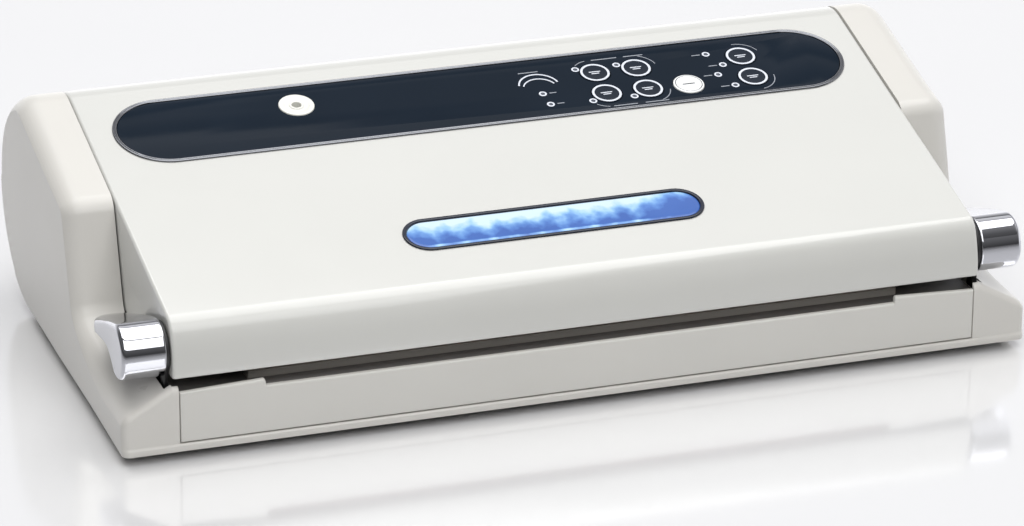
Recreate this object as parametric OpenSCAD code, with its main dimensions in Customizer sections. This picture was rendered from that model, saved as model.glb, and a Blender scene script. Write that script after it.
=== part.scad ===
// Vacuum sealer: a low wedge-shaped counter-top machine with a hinged lid,
// a locking lever at each end, a sealing bar and a pump in the base.
// Units are millimetres. X is the width, +Y runs to the back, Z is up.

/* [Overall] */
// width over the two side housings
body_w = 434; // [400:1:525]
// depth from the front lip to the rear of the housing
body_d = 226.8; // [215:0.1:275]
// height from the bottom edge to the highest point of the top
body_h = 103.44; // [99:0.01:125]
// height of the rubber feet under the body
foot_h = 4; // [2:0.5:8]
// thickness of the moulded walls
wall = 2.5; // [2:0.1:3.2]

/* [Lid] */
// width of each side housing beside the lid
side_w = 24; // [23:0.5:28]
// gap between a lid end and the side housing
lid_gap = 0.6; // [0.4:0.1:1]
// radius of the hinge barrel along the lid's rear edge
barrel_r = 4.2; // [4:0.1:4.4]
// diameter of the steel hinge pins
hinge_pin_d = 4; // [3:0.1:4.2]

/* [Levers] */
// radius of the round front of a lever
lever_r = 13; // [11:0.5:13.5]
// how far the lever's tail reaches behind its pivot
lever_tail = 45; // [38:1:50]
// diameter of the lever pivot pins
lever_pin_d = 6; // [4:0.5:8]

/* [Sealing] */
// width of bag that fits between the side guides
bag_w = 302; // [240:1:320]
// height of the bag slot's sill above the bottom edge
sill_z = 25.3; // [25.1:0.1:26]
// width of the sealing bar from front to back
bar_w = 10; // [7:0.5:12]
// width of the gasket bead
gasket_w = 5; // [4:0.5:6]
// clear gap between each pair of closed sealing faces
seal_gap = 0.3; // [0.2:0.05:0.6]

/* [Panel] */
// length of the oval control panel
panel_l = 361.6; // [330:0.1:366]
// depth of the oval control panel along the slope
panel_v = 50.6; // [49:0.1:54]
// width of the panel's metal-look rim
rim_w = 2.2; // [1.5:0.1:3]
// diameter of a key
key_d = 15; // [12:0.1:16]
// how far a key goes down
key_travel = 0.6; // [0.3:0.1:0.8]
// clear gap around a key
key_gap = 0.3; // [0.2:0.05:0.5]
// diameter of the accessory port's disc
port_d = 17; // [14:0.5:20]
// diameter of the accessory port's bore
port_bore = 4.6; // [3:0.1:8]
// length of the window
window_l = 145; // [120:1:180]
// depth of the window along the slope
window_v = 24; // [18:0.5:26]

/* [Inside] */
// diameter of the pump motor
motor_d = 36; // [28:1:40]
// length of the pump motor
motor_l = 52; // [40:1:60]
// width of the transformer core
core_w = 58; // [40:1:64]
// outside diameter of the vacuum hoses
hose_d = 7; // [5:0.5:8]

/* [Hidden] */
$fn = 48;
ky = body_d / 226.8;
kz = body_h / 103.44;
// the lower rim hangs this far below the bottom plate
rim_drop = 1.2 * kz;
half = body_w / 2;
lid_half = half - side_w;
in_half = lid_half + lid_gap;
// slope of the lid top
rise = 0.2495 * kz / ky;
slope = atan(rise);
top_z0 = 57.1 * kz;
// lid underside, deck and sill levels
lid_z = 33.2 * kz;
deck_z = sill_z - 0.3;
panel_top = 28.5;
// hinge axis
hy = 212 * ky;
hz = 80 * kz;
knuckle_in = 60;
knuckle_w = 10;
barrel_l = 60;
// lever axis
ly = 16.5;
lz = 43.6 * kz;
lever_in = lid_half + 2.3;
lever_out = half - 1.5;
// chamber
trough_half = bag_w / 2 + 8;
trough_y0 = 35;
trough_y1 = 66;
bar_y = 17;
bar_half = bag_w / 2 + 5;
bar_top = 28.4;
ring_half = trough_half + 12;
// works bay
roof_gap = 2.6;
step_y = 96;
under0 = 54 * kz;
bay_y = step_y + 4;
floor_z = 5.2;
ledge_z = 2.8 * kz + 2.6;
// panel
pv = 150.5 * ky;
wv = 47.5 * ky;
overlay_r = panel_v / 2 - rim_w;
key_r = key_d / 2;
key_top = 0.9;
board_w = -11;
key_dx = 20.8;
key_dv = 17.6;
key_row = pv - 2 + key_dv / 2;
key_x = [57.2, 57.2 + key_dx];
white_x = 98.6;
mode_x = 131.4;
port_x = -90.6;
port_v = pv + 8;
inlet_x = -150;

// ---------- outline helpers: each point is [y, z, normal y, normal z, edge radius] ----------
function arcp(cy, cz, r, a0, a1, n, rf, sg = 1, i0 = 0) =
  [for (i = [i0:n]) let (a = a0 + (a1 - a0) * i / n)
    [cy + r * cos(a), cz + r * sin(a), sg * cos(a), sg * sin(a), rf]];

// closed outline of a side housing
function housing_pts() = concat(
  [[0, -1.2, -1, -1, 1], [60, -1.2, 0, -1, 2.5], [120, -1.2, 0, -1, 2.5]],
  arcp(175.8, 49.8, 51, -90, -60, 3, 4),
  arcp(175.8, 49.8, 51, -60, 0, 6, 8, 1, 1),
  arcp(171.8, 49.8, 55, 0, 66, 7, 10.5, 1, 1),
  arcp(184, 77.24, 25, 66, 104, 4, 10.5, 1, 1),
  [[140, 92.03, -0.242, 0.970, 10.5]],
  arcp(107.4, 73.6, 10, 104, 163.7, 5, 9),
  arcp(75.3, 41.9, 12, -16.3, -62, 4, 8, -1),
  arcp(22.3, 141.7, 125, -62, -90, 6, 4, -1, 1),
  arcp(4.4, 12.9, 3.5, 90, 180, 3, 4),
  [[0.9, 2.7, -1, 0, 4], [0, 1.6, -1, 0, 3.6]]);

// one cross-section ring of a side housing, inset by d and with its edge rounded at x
function ring(x, d, xo) = [for (p = housing_pts())
  let (s = max(0, min(1, (half - x) / side_w)),
       lift = p[0] > 85 || p[1] < 12 ? 0 : s * max(0, 30 - max(p[1], 16.4)),
       rf = max(p[4] - d, 0.4),
       u = max(0, x - (xo - rf)),
       e = d + rf - sqrt(max(0, rf * rf - u * u)))
  [x, p[0] * ky - p[2] * e, (p[1] + lift) * kz - p[3] * e]];

// skin through rings at the given x positions, closed with a fan at both ends
module skin(xs, d, xo) {
  rings = [for (x = xs) ring(x, d, xo)];
  m = len(rings[0]);
  k = len(xs);
  hub = [for (x = [xs[0], xs[k - 1]]) [x, 112 * ky, 13 * kz]];
  pts = concat([for (r = rings) for (p = r) p], hub);
  faces = concat(
    [for (j = [0:k - 2]) for (i = [0:m - 1]) [j * m + i, (j + 1) * m + i, j * m + (i + 1) % m]],
    [for (j = [0:k - 2]) for (i = [0:m - 1])
      [j * m + (i + 1) % m, (j + 1) * m + i, (j + 1) * m + (i + 1) % m]],
    [for (i = [0:m - 1]) [k * m, i, (i + 1) % m]],
    [for (i = [0:m - 1]) [k * m + 1, (k - 1) * m + (i + 1) % m, (k - 1) * m + i]]);
  polyhedron(pts, faces, convexity = 10);
}

function edge_x(xo, rf) = [for (t = [0, 18, 36, 54, 72, 90]) xo - rf + rf * sin(t)];

module side_outer() {
  skin(concat([in_half, (in_half + half - 10.5) / 2], edge_x(half, 10.5)), 0, half);
}

module side_cavity() {
  xo = half - wall;
  skin(concat([in_half + wall, in_half + wall + 4], edge_x(xo, 8)), wall, xo);
}

// extrude a polygon of [y, z] points along x from x0 to x1
module along_x(x0, x1) {
  translate([x0, 0, 0]) rotate([90, 0, 90]) linear_extrude(x1 - x0) children();
}

// round bar along x
module rod_x(x0, x1, y, z, r) {
  translate([x0, y, z]) rotate([0, 90, 0]) cylinder(r = r, h = x1 - x0);
}

module box(x0, x1, y0, y1, z0, z1) {
  translate([x0, y0, z0]) cube([x1 - x0, y1 - y0, z1 - z0]);
}

module both() {
  children();
  mirror([1, 0, 0]) children();
}

// put the front bottom edge frame into the shared frame
module place() {
  translate([0, -body_d / 2, foot_h + rim_drop]) children();
}

// local frame on the lid's top plane: y runs up the slope, z out of it
module on_top(x = 0, v = 0, w = 0) {
  translate([0, 0, top_z0]) rotate([slope, 0, 0]) translate([x, v, w]) children();
}

// outline of an oval, l long over all and h wide
module oval(l, h) {
  square([l - h, h], center = true);
  for (s = [-1, 1]) translate([s * (l - h) / 2, 0]) circle(d = h, $fn = 96);
}

// scaled [y, z] list
function sc(l) = [for (p = l) [p[0] * ky, p[1] * kz]];

function rear_arc(r, a0, a1, n) =
  [for (i = [0:n]) let (a = a0 + (a1 - a0) * i / n) [171.8 + r * cos(a), 49.8 + r * sin(a)]];
function low_arc(r, a0, a1, n) =
  [for (i = [0:n]) let (a = a0 + (a1 - a0) * i / n) [175.8 + r * cos(a), 49.8 + r * sin(a)]];

// ---------- base ----------
screw_y1 = 10.5;
screw_y2 = 163;
plate_y0 = 6;
plate_y1 = 168;

module boss_spots() {
  for (x = [-bag_w * 0.45, 0, bag_w * 0.45]) {
    translate([x, screw_y1, 0]) children();
    translate([x, screw_y2 * ky, 0]) children();
  }
}

module latch_slot() {
  box(lid_half - 1, in_half + wall + 0.5, 5.5, 33.4, deck_z - 6, lid_z - 1);
}

module base_housing() {
  color([0.80, 0.79, 0.75]) place() difference() {
    union() {
      both() side_outer();
      // lip and front wall behind the panel
      along_x(-in_half - 1, in_half + 1) polygon([[1, -rim_drop], [0, 1 - rim_drop], [0, 1.6],
        [0.9, 2.7], [3.7, 2.7], [3.7, deck_z - 2.6], [6, deck_z - 2.6], [6, -rim_drop]]);
      // rear wall
      along_x(-in_half - 1, in_half + 1) polygon(sc(concat([[plate_y1, -1.2], [175.8, -1.2]],
        low_arc(51, -80, 0, 8), rear_arc(55, 4, 30.5, 4),
        rear_arc(55 - wall, 30.5, 0, 4), low_arc(51 - wall, 0, -84, 8), [[plate_y1, 2.7]])));
      // corner posts that close the front beside the panel
      both() along_x(in_half - 2.9, in_half + 1) polygon([[0.9, 1], [0.9, 26.2 * kz],
        [1.4, 28 * kz], [2.4, 29 * kz], [3.6, 29.6 * kz], [3.6, 1]]);
      // screw ledge
      box(-in_half - 1, in_half + 1, 156 * ky, 190 * ky, 2.8 * kz, ledge_z);
      for (x = [-bag_w * 0.45, 0, bag_w * 0.45]) translate([x, screw_y1, 2.8])
        cylinder(d = 9.5, h = 10);
      boss_spots() translate([0, 0, 3]) cylinder(d = 8, h = 9);
      // hinge knuckles and their webs
      both() for (x = [knuckle_in, knuckle_in + knuckle_w + barrel_l]) {
        rod_x(x, x + knuckle_w, hy, hz, barrel_r);
        along_x(x, x + knuckle_w) polygon([[hy - barrel_r, hz], [hy - barrel_r + 0.5, hz - 8],
          [216 * ky, 64 * kz], [221 * ky, 70 * kz], [217.6 * ky, 77 * kz], [hy + barrel_r, hz]]);
      }
    }
    both() side_cavity();
    // bottom opening
    box(-half + 5, half - 5, plate_y0, plate_y1 * ky, -3, 2.8);
    both() latch_slot();
    boss_spots() translate([0, 0, -1]) cylinder(d = 2.6, h = 11);
    both() for (x = [knuckle_in, knuckle_in + knuckle_w + barrel_l])
      rod_x(x - 1, x + knuckle_w + 1, hy, hz, hinge_pin_d / 2 + 0.02);
    // mains inlet opening
    box(inlet_x - 14, inlet_x + 14, 205 * ky, 240 * ky, 20, 38);
  }
}

module bottom_plate() {
  color([0.30, 0.30, 0.31]) place() difference() {
    union() {
      box(-half + 5.4, half - 5.4, plate_y0 + 0.4, plate_y1 * ky - 0.4, 0, 2.5);
      // stiffening ribs stand on the plate
      for (x = [-1, 1]) box(x * (half - 60) - 1, x * (half - 60) + 1, 75 * ky, 95 * ky, 2.5, 6);
    }
    boss_spots() translate([0, 0, -1]) cylinder(d = 3.4, h = 5);
    boss_spots() translate([0, 0, -0.1]) cylinder(d = 6.4, h = 1.4);
  }
}

module front_panel() {
  e = in_half - 3.2;
  b = bag_w / 2;
  color([0.79, 0.77, 0.74]) place() translate([0, 3.5, 0]) rotate([90, 0, 0])
    linear_extrude(2.7) polygon([[-e, 3.0], [e, 3.0], [e, panel_top - 1.6], [b, panel_top],
      [b, sill_z], [-b, sill_z], [-b, panel_top], [-e, panel_top - 1.6]]);
}

module rubber_feet() {
  color([0.12, 0.12, 0.12]) place() for (x = [-1, 1], y = [24, 152])
    translate([x * (half - 26), y * ky, -foot_h - rim_drop]) {
      cylinder(d1 = 14, d2 = 16, h = foot_h + rim_drop);
    }
}

module bottom_screws() {
  color([0.55, 0.56, 0.58]) place() boss_spots() difference() {
    union() {
      translate([0, 0, 0.1]) cylinder(d = 5.8, h = 1.2);
      translate([0, 0, 1.2]) cylinder(d = 2.5, h = 8);
    }
    box(-2, 2, -0.4, 0.4, -0.5, 0.6);
  }
}

// deck over the base: low front with the chamber, step, sloped roof over the works
module inner_deck() {
  e = in_half - 0.3;
  r0 = under0 - roof_gap;
  r1 = r0 + (203 * ky - step_y - 4) * rise;
  color([0.86, 0.85, 0.81]) place() difference() {
    along_x(-e, e) polygon([[3.7, deck_z - 2.5], [3.7, deck_z], [step_y + 2.5, deck_z],
      [step_y + 2.5, r0], [203 * ky, r1 - 1], [203 * ky, r1 - 3.6], [step_y + 5, r0 - 2.6],
      [step_y + 5, deck_z - 2.5]]);
    // trough and sealing bar openings
    box(-trough_half, trough_half, trough_y0, trough_y1, deck_z - 8, deck_z + 1);
    box(-bar_half - 0.4, bar_half + 0.4, bar_y - bar_w / 2 - 0.4, bar_y + bar_w / 2 + 0.4,
      deck_z - 8, deck_z + 1);
    // gasket groove
    difference() {
      box(-ring_half, ring_half, trough_y0 - 7, trough_y1 + 7, deck_z - 1, deck_z + 1);
      box(-ring_half + gasket_w, ring_half - gasket_w, trough_y0 - 7 + gasket_w,
        trough_y1 + 7 - gasket_w, deck_z - 2, deck_z + 2);
    }
    // clearance for the hooks
    both() box(lid_half - 1, half, 0, 34, deck_z - 8, deck_z + 1);
  }
}

module seal_bar() {
  color([0.62, 0.60, 0.56]) place()
    difference() {
      box(-bar_half, bar_half, bar_y - bar_w / 2, bar_y + bar_w / 2, deck_z - 10, bar_top);
      // light pockets underneath
      for (x = [-1, 1]) box(x * bar_half * 0.5 - bar_half * 0.4, x * bar_half * 0.5 + bar_half * 0.4,
        bar_y - bar_w / 2 + 2, bar_y + bar_w / 2 - 2, deck_z - 11, deck_z - 3);
    }
}

module heating_wire() {
  color([0.66, 0.62, 0.52]) place() {
    box(-bar_half + 4, bar_half - 4, bar_y - 1.3, bar_y + 1.3, bar_top, bar_top + 0.3);
  }
}

module release_tape() {
  color([0.55, 0.38, 0.24]) place()
    box(-bar_half + 2, bar_half - 2, bar_y - bar_w / 2 + 1, bar_y + bar_w / 2 - 1,
      bar_top + 0.3, bar_top + 0.55);
}

gasket_mid = (deck_z + lid_z) / 2;

module gasket_loop(z0, z1, w) {
  m = (gasket_w - w) / 2;
  difference() {
    box(-ring_half + m, ring_half - m, trough_y0 - 7 + m, trough_y1 + 7 - m, z0, z1);
    box(-ring_half + m + w, ring_half - m - w, trough_y0 - 7 + m + w, trough_y1 + 7 - m - w,
      z0 - 1, z1 + 1);
  }
}

module lower_gasket() {
  color([0.16, 0.16, 0.17]) place() {
    gasket_loop(deck_z - 1, gasket_mid - seal_gap / 2, gasket_w - 0.4);
  }
}

module drip_tray() {
  x = trough_half - 0.4;
  color([0.45, 0.46, 0.48]) place() difference() {
    union() {
      box(-x, x, trough_y0 + 0.4, trough_y1 - 0.4, 12, deck_z);
      box(-x - 4, x + 4, trough_y0 - 1.6, trough_y1 + 1.6, deck_z, deck_z + 1.2);
    }
    box(-x + 1.6, x - 1.6, trough_y0 + 2, trough_y1 - 2, 13.6, deck_z + 2);
    // suction hole in the rear wall
    translate([70, trough_y1 + 1, 18]) rotate([90, 0, 0]) cylinder(d = hose_d - 3, h = 4);
  }
}

// ---------- works ----------
pump_y = 150 * ky;
pump_z = floor_z + motor_d / 2 + 4;
pump_x0 = 10;
head_x0 = pump_x0 + motor_l + 2;
head_l = 36;

module pump_motor() {
  color([0.62, 0.63, 0.65]) place() {
    rod_x(pump_x0, pump_x0 + motor_l, pump_y, pump_z, motor_d / 2);
    rod_x(pump_x0 - 4, pump_x0, pump_y, pump_z, motor_d / 4);
    rod_x(pump_x0 + motor_l, head_x0, pump_y, pump_z, motor_d / 5);
  }
}

module pump_head() {
  color([0.20, 0.21, 0.23]) place() difference() {
    union() {
      box(head_x0, head_x0 + head_l, pump_y - 20, pump_y + 20, pump_z - 17, pump_z + 21);
      // suction nozzle
      translate([head_x0 + head_l / 2, pump_y - 19, pump_z]) rotate([90, 0, 0])
        cylinder(d = hose_d - 3.2, h = 9);
    }
    translate([head_x0 + head_l / 2, pump_y - 15, pump_z]) rotate([90, 0, 0])
      cylinder(d = hose_d - 5, h = 14);
  }
}

module pump_mounts() {
  color([0.10, 0.10, 0.10]) place() for (dx = [6, head_l - 6]) {
    translate([head_x0 + dx, pump_y - 14, 2.5]) cylinder(d = 9, h = pump_z - 17 - 2.5);
    translate([head_x0 + dx, pump_y + 14, ledge_z]) cylinder(d = 9, h = pump_z - 17 - ledge_z);
  }
}

// round hose through a list of points: straight runs that pass a little into each other
module hose(pts, d) {
  for (i = [0:len(pts) - 2]) hose_run(pts[i], pts[i + 1], i % 2 == 0 ? d : d * 0.94,
    i == 0 ? 0 : d * 0.3, i == len(pts) - 2 ? 0 : d * 0.3);
}

module hose_run(a, b, d, e0, e1) {
  v = b - a;
  l = norm(v);
  translate(a - v / l * e0) rotate([0, acos(v[2] / l), atan2(v[1], v[0])])
    cylinder(d = d, h = l + e0 + e1, $fn = 24);
}

module chamber_hose() {
  x = head_x0 + head_l / 2;
  color([0.70, 0.72, 0.74]) place() difference() {
    hose([[70, trough_y1 + 1.6, 18], [70, 84, 18], [x, bay_y + 3, 17],
      [x, pump_y - 32, pump_z], [x, pump_y - 22, pump_z]], hose_d);
    // clear bores at both ends
    translate([x, pump_y - 21, pump_z]) rotate([90, 0, 0]) cylinder(d = hose_d - 3, h = 9);
    translate([70, trough_y1 + 8, 18]) rotate([90, 0, 0]) cylinder(d = hose_d - 3, h = 9);
  }
}

module release_valve() {
  color([0.75, 0.62, 0.20]) place() {
    box(140, 162, 128 * ky, 128 * ky + 26, 2.5, 24);
    translate([151, 128 * ky + 13, 24]) cylinder(d = 14, h = 10);
  }
}

module valve_hose() {
  color([0.70, 0.72, 0.74]) place() {
    hose([[head_x0 + head_l + 0.2, pump_y + 6, pump_z], [head_x0 + head_l + 12, pump_y + 6, pump_z],
      [133, 128 * ky + 16, 14], [139.8, 128 * ky + 16, 14]], 5);
  }
}

core_y = 118 * ky;
module transformer_core() {
  h = 46;
  color([0.35, 0.36, 0.38]) place() difference() {
    box(-104 - core_w / 2, -104 + core_w / 2, core_y + 12, core_y + 34, 2.5, 2.5 + h);
    for (s = [-1, 1]) box(-104 + s * core_w / 4 - core_w / 9, -104 + s * core_w / 4 + core_w / 9,
      core_y, core_y + 50, 2.5 + h * 0.22, 2.5 + h * 0.78);
  }
}

module transformer_coil() {
  h = 46;
  w = core_w / 4 + core_w / 9 - 0.6;
  i = core_w / 4 - core_w / 9 + 0.4;
  color([0.62, 0.36, 0.16]) place() difference() {
    box(-104 - w, -104 + w, core_y + 2, core_y + 44, 2.5 + h * 0.22 + 0.4, 2.5 + h * 0.78 - 0.4);
    box(-104 - i, -104 + i, core_y + 11.5, core_y + 34.5, 0, 60);
  }
}

module power_board() {
  color([0.10, 0.34, 0.18]) place() {
    box(-66, -4, 112 * ky, 186 * ky, 9, 10.6);
    for (x = [-61, -9]) {
      translate([x, 116 * ky, 2.5]) cylinder(d = 6, h = 6.6);
      translate([x, 182 * ky, ledge_z]) cylinder(d = 6, h = 9.1 - ledge_z);
    }
  }
}

module power_relay() {
  color([0.10, 0.16, 0.42]) place() box(-60, -41, 124 * ky, 124 * ky + 15, 10.6, 26);
}

module power_capacitor() {
  color([0.12, 0.12, 0.14]) place() translate([-24, 168 * ky, 10.6]) cylinder(d = 18, h = 26);
}

module heat_sink() {
  color([0.66, 0.67, 0.69]) place() {
    box(-34, -10, 126 * ky, 126 * ky + 2, 10.6, 36);
    for (i = [0:4]) box(-33.5 + i * 5.5, -32 + i * 5.5, 126 * ky + 1.5, 126 * ky + 12, 10.6, 36);
  }
}

inlet_y1 = 220 * ky;
module mains_inlet() {
  color([0.07, 0.07, 0.07]) place() difference() {
    box(inlet_x - 13.7, inlet_x + 13.7, inlet_y1 - 18, inlet_y1, 20.3, 37.7);
    // oval recess for the plug
    translate([inlet_x, inlet_y1 + 1, 29]) rotate([90, 0, 0]) linear_extrude(14) {
      square([8.6, 8.4], center = true);
      for (s = [-1, 1]) translate([s * 4.3, 0]) circle(d = 8.4);
    }
    for (s = [-1, 1]) rod_y(inlet_x + s * 4.3, 29, inlet_y1 - 19, inlet_y1 - 5, 1.15);
  }
}

// round bar along y
module rod_y(x, z, y0, y1, r) {
  translate([x, y1, z]) rotate([90, 0, 0]) cylinder(r = r, h = y1 - y0);
}

module inlet_pins() {
  color([0.75, 0.72, 0.60]) place() for (s = [-1, 1])
    rod_y(inlet_x + s * 4.3, 29, inlet_y1 - 24, inlet_y1 - 4, 1.15);
}

module mains_wires() {
  color([0.42, 0.24, 0.14]) place() for (s = [-1, 1])
    hose([[inlet_x + s * 4.3, inlet_y1 - 24.7, 29], [inlet_x + s * 4.3, inlet_y1 - 34, 25],
      [inlet_x + 26, inlet_y1 - 36 + s * 3, 9], [-67, 172 * ky + s * 5, 9.8]], 2.4);
}

module latch_switches() {
  color([0.14, 0.14, 0.15]) place() both() {
    box(in_half + wall + 0.6, in_half + wall + 7, 34, 52, 4, 15);
    box(in_half + wall + 2, in_half + wall + 4.5, 30.5, 34, 10, 13);
  }
}

module latch_catches() {
  color([0.60, 0.61, 0.63]) place() both() difference() {
    box(in_half + wall + 0.7, in_half + wall + 5, 6, 29, 3.5, deck_z - 4);
    box(in_half + wall + 2.2, in_half + wall + 8, 5, 30, 5, deck_z - 2);
  }
}

module hinge_pins() {
  color([0.70, 0.71, 0.73]) place() both()
    rod_x(knuckle_in + 0.5, knuckle_in + 2 * knuckle_w + barrel_l - 0.5, hy, hz, hinge_pin_d / 2);
}

// ---------- lid ----------
function inset_pts(l, d) = [for (p = l) [p[0] * ky - p[2] * d, p[1] * kz - p[3] * d]];

function lid_top_pts() = concat(
  arcp(171.8, 49.8, 55, 40, 66, 4, 0),
  arcp(184, 77.24, 25, 66, 104, 5, 0, 1, 1),
  arcp(15.2, 50.42, 10, 104, 155, 5, 0),
  arcp(46.92, 35.63, 45, 155, 178, 5, 0, 1, 1),
  [[1.95, 34.6, -1, 0, 0], [2.4, 33.5, -1, 0, 0], [3.1, 33.2, -1, 0, 0]]);

module lid_solid() {
  along_x(-lid_half, lid_half) polygon(concat(inset_pts(lid_top_pts(), 0),
    [[step_y, lid_z], [step_y, under0], [205 * ky, under0 + (205 * ky - step_y) * rise]]));
}

module lid_cavity() {
  along_x(-lid_half + wall, lid_half - wall) polygon(concat(inset_pts(lid_top_pts(), wall),
    [[3.1 + wall, 20], [step_y + 4, 20], [step_y + 4, under0 - 8],
     [206 * ky, under0 + (198 * ky - step_y) * rise]]));
}

// lid screw places, and the height of the boss from the liner to the lid's top wall
lid_spots = [for (p = [[lid_half - 14, 15], [lid_half - 14, 84], [94, 84], [94, 15]])
  [p[0], p[1], top_z0 + (p[1] - 3.5) * rise - wall * 0.9 - lid_z - 2.5]];

module lid_shell() {
  c = 0.4;
  color([0.91, 0.915, 0.89]) place() difference() {
    union() {
      difference() {
        lid_solid();
        lid_cavity();
      }
      rod_x(-lid_half, lid_half, hy, hz, barrel_r);
      // web from the barrel up into the rear wall
      along_x(-lid_half, lid_half) polygon([[hy - 3, hz], [hy + 3, hz], [hy - 1.5, hz + 8 * kz],
        [hy - 4, hz + 8 * kz]]);
      both() for (p = lid_spots) translate([p[0], p[1], lid_z + 2.5]) cylinder(d = 7, h = p[2]);
    }
    // room for the base knuckles
    both() for (x = [knuckle_in, knuckle_in + knuckle_w + barrel_l])
      rod_x(x - c, x + knuckle_w + c, hy, hz, barrel_r + 2.6);
    both() rod_x(knuckle_in - c - 2, knuckle_in + 2 * knuckle_w + barrel_l + c + 2, hy, hz,
      hinge_pin_d / 2 + 0.07);
    // control panel and window openings
    on_top(0, pv, -8) linear_extrude(12) oval(panel_l - 2.4, panel_v - 2.4);
    on_top(0, wv, -8) linear_extrude(12) oval(window_l - 1.2, window_v - 1.2);
    // lever pin holes
    both() rod_x(lid_half - 8, lid_half + 1, ly, lz, lever_pin_d / 2 + 0.02);
    both() for (p = lid_spots) translate([p[0], p[1], lid_z]) cylinder(d = 2.6, h = 14);
  }
}

module lid_liner() {
  e = lid_half - wall - 0.3;
  t = 2.2;
  r1 = under0 + (200 * ky - step_y) * rise;
  color([0.84, 0.84, 0.81]) place() difference() {
    along_x(-e, e) polygon([[6, lid_z + 0.1], [step_y - 0.1, lid_z + 0.1],
      [step_y - 0.1, under0 + 0.1], [200 * ky, r1 + 0.1], [200 * ky, r1 + t],
      [step_y - t, under0 + t], [step_y - t, lid_z + t + 0.1], [6, lid_z + t + 0.1]]);
    both() for (p = lid_spots) translate([p[0], p[1], lid_z - 1]) cylinder(d = 3.2, h = 6);
    both() for (p = lid_spots) translate([p[0], p[1], lid_z - 1]) cylinder(d = 6, h = 2.2);
    // air hole of the accessory port
    translate([port_x, 50, lid_z - 1]) cylinder(d = hose_d - 3, h = 6);
  }
}

module lid_screws() {
  color([0.55, 0.56, 0.58]) place() both() for (p = lid_spots) translate([p[0], p[1], lid_z]) {
    translate([0, 0, 0.2]) cylinder(d = 5.4, h = 1);
    translate([0, 0, 1]) cylinder(d = 2.5, h = 7);
  }
}

module panel_rim() {
  color([0.74, 0.75, 0.77]) place() on_top(0, pv) difference() {
    union() {
      translate([0, 0, 0.05]) linear_extrude(0.8) oval(panel_l, panel_v);
      translate([0, 0, -3]) linear_extrude(3.5) oval(panel_l - 2.8, panel_v - 2.8);
    }
    translate([0, 0, -4]) linear_extrude(6) oval(panel_l - 2 * rim_w, panel_v - 2 * rim_w);
  }
}

// places of the keys in the lid-top frame
function key_at(n) = n == 0 ? [key_x[0], key_row] : n == 1 ? [key_x[1], key_row]
  : n == 2 ? [key_x[0], key_row - key_dv] : n == 3 ? [key_x[1], key_row - key_dv]
  : n == 4 ? [white_x, key_row - key_dv] : n == 5 ? [mode_x, key_row] : [mode_x, key_row - key_dv];

lamp_dx = key_r + 0.9;
lamp_dv = key_r * 0.61;
lamp_at = [[key_x[0] - lamp_dx, key_row + lamp_dv], [key_x[1] - lamp_dx, key_row + lamp_dv],
  [key_x[0] - lamp_dx, key_row - key_dv - lamp_dv],
  [key_x[1] - lamp_dx, key_row - key_dv - lamp_dv], [115.4, key_row + 5], [120.6, key_row - 5],
  [115.4, key_row - key_dv + 5], [120.6, key_row - key_dv - 5],
  [27, key_row - 12], [28, key_row - 21]];

module control_overlay() {
  r = overlay_r - 0.15;
  color([0.09, 0.11, 0.16]) place() on_top(0, pv) difference() {
    translate([0, 0, -1.6]) linear_extrude(2) oval(panel_l - 2 * rim_w - 0.3, 2 * r);
    for (n = [0:6]) translate([key_at(n)[0], key_at(n)[1] - pv, -2])
      cylinder(r = key_r + key_gap, h = 4);
    for (p = lamp_at) translate([p[0], p[1] - pv, -2]) cylinder(d = 2.3, h = 4);
    translate([port_x, port_v - pv, -2]) cylinder(d = port_d + 0.2, h = 4);
  }
}

module port_disc() {
  color([0.86, 0.86, 0.83]) place() on_top(port_x, port_v) difference() {
    union() {
      translate([0, 0, -4]) cylinder(d = port_d, h = 5);
      translate([0, 0, -12]) cylinder(d = hose_d - 0.2, h = 9);
    }
    translate([0, 0, 0.4]) cylinder(d1 = port_d - 7, d2 = port_d - 4, h = 0.7);
    translate([0, 0, -13]) cylinder(d = port_bore, h = 15);
  }
}

module port_hose() {
  t = port_v * cos(slope);
  p = [port_x, t + 12.5 * sin(slope), top_z0 + port_v * sin(slope) - 12.5 * cos(slope)];
  n = [0, sin(slope), -cos(slope)];
  // stays above the lining's roof, whose depth below the top follows the slope
  room = (top_z0 - under0 + step_y * rise - 2.3) * cos(slope);
  q = p + n * max(1, min(8, room - 12.5 - hose_d / 2 - 1));
  color([0.70, 0.72, 0.74]) place() hose([p, q, [port_x + 7, step_y + 14, under0 + 18],
    [port_x + 7, 80, under0 + 1], [port_x, 50, lid_z + 17], [port_x, 50, lid_z + 2.3]], hose_d);
}

module control_board() {
  color([0.10, 0.34, 0.18]) place() on_top(0, pv) difference() {
    translate([40, 0, board_w]) linear_extrude(1.6) square([214, panel_v - 12], center = true);
    for (s = [-60, 140]) translate([s, 0, board_w - 1]) cylinder(d = 3.2, h = 4);
  }
}

module key_switches() {
  color([0.22, 0.22, 0.24]) place() for (n = [0:6]) on_top(key_at(n)[0], key_at(n)[1]) {
    translate([-3, -3, board_w + 1.6]) cube([6, 6, 3.4]);
    translate([0, 0, board_w + 5]) cylinder(d = 3.4, h = 0.8);
  }
}

module indicator_lamps() {
  color([0.55, 0.75, 0.95]) place() for (p = lamp_at) on_top(p[0], p[1], board_w + 1.6)
    cylinder(d = 2, h = -board_w - 1.6 + 0.5);
}

module gauge_lamps() {
  color([0.60, 0.78, 0.95]) place() on_top(27.4, key_row - 5.9, 0.4) {
    rotate([0, 0, 12]) rotate_extrude(angle = 156) translate([9.4, 0]) square([0.8, 0.25]);
    translate([0, -2.3, 0]) rotate([0, 0, 24]) rotate_extrude(angle = 132) translate([8, 0])
      square([0.7, 0.25]);
  }
}

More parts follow.
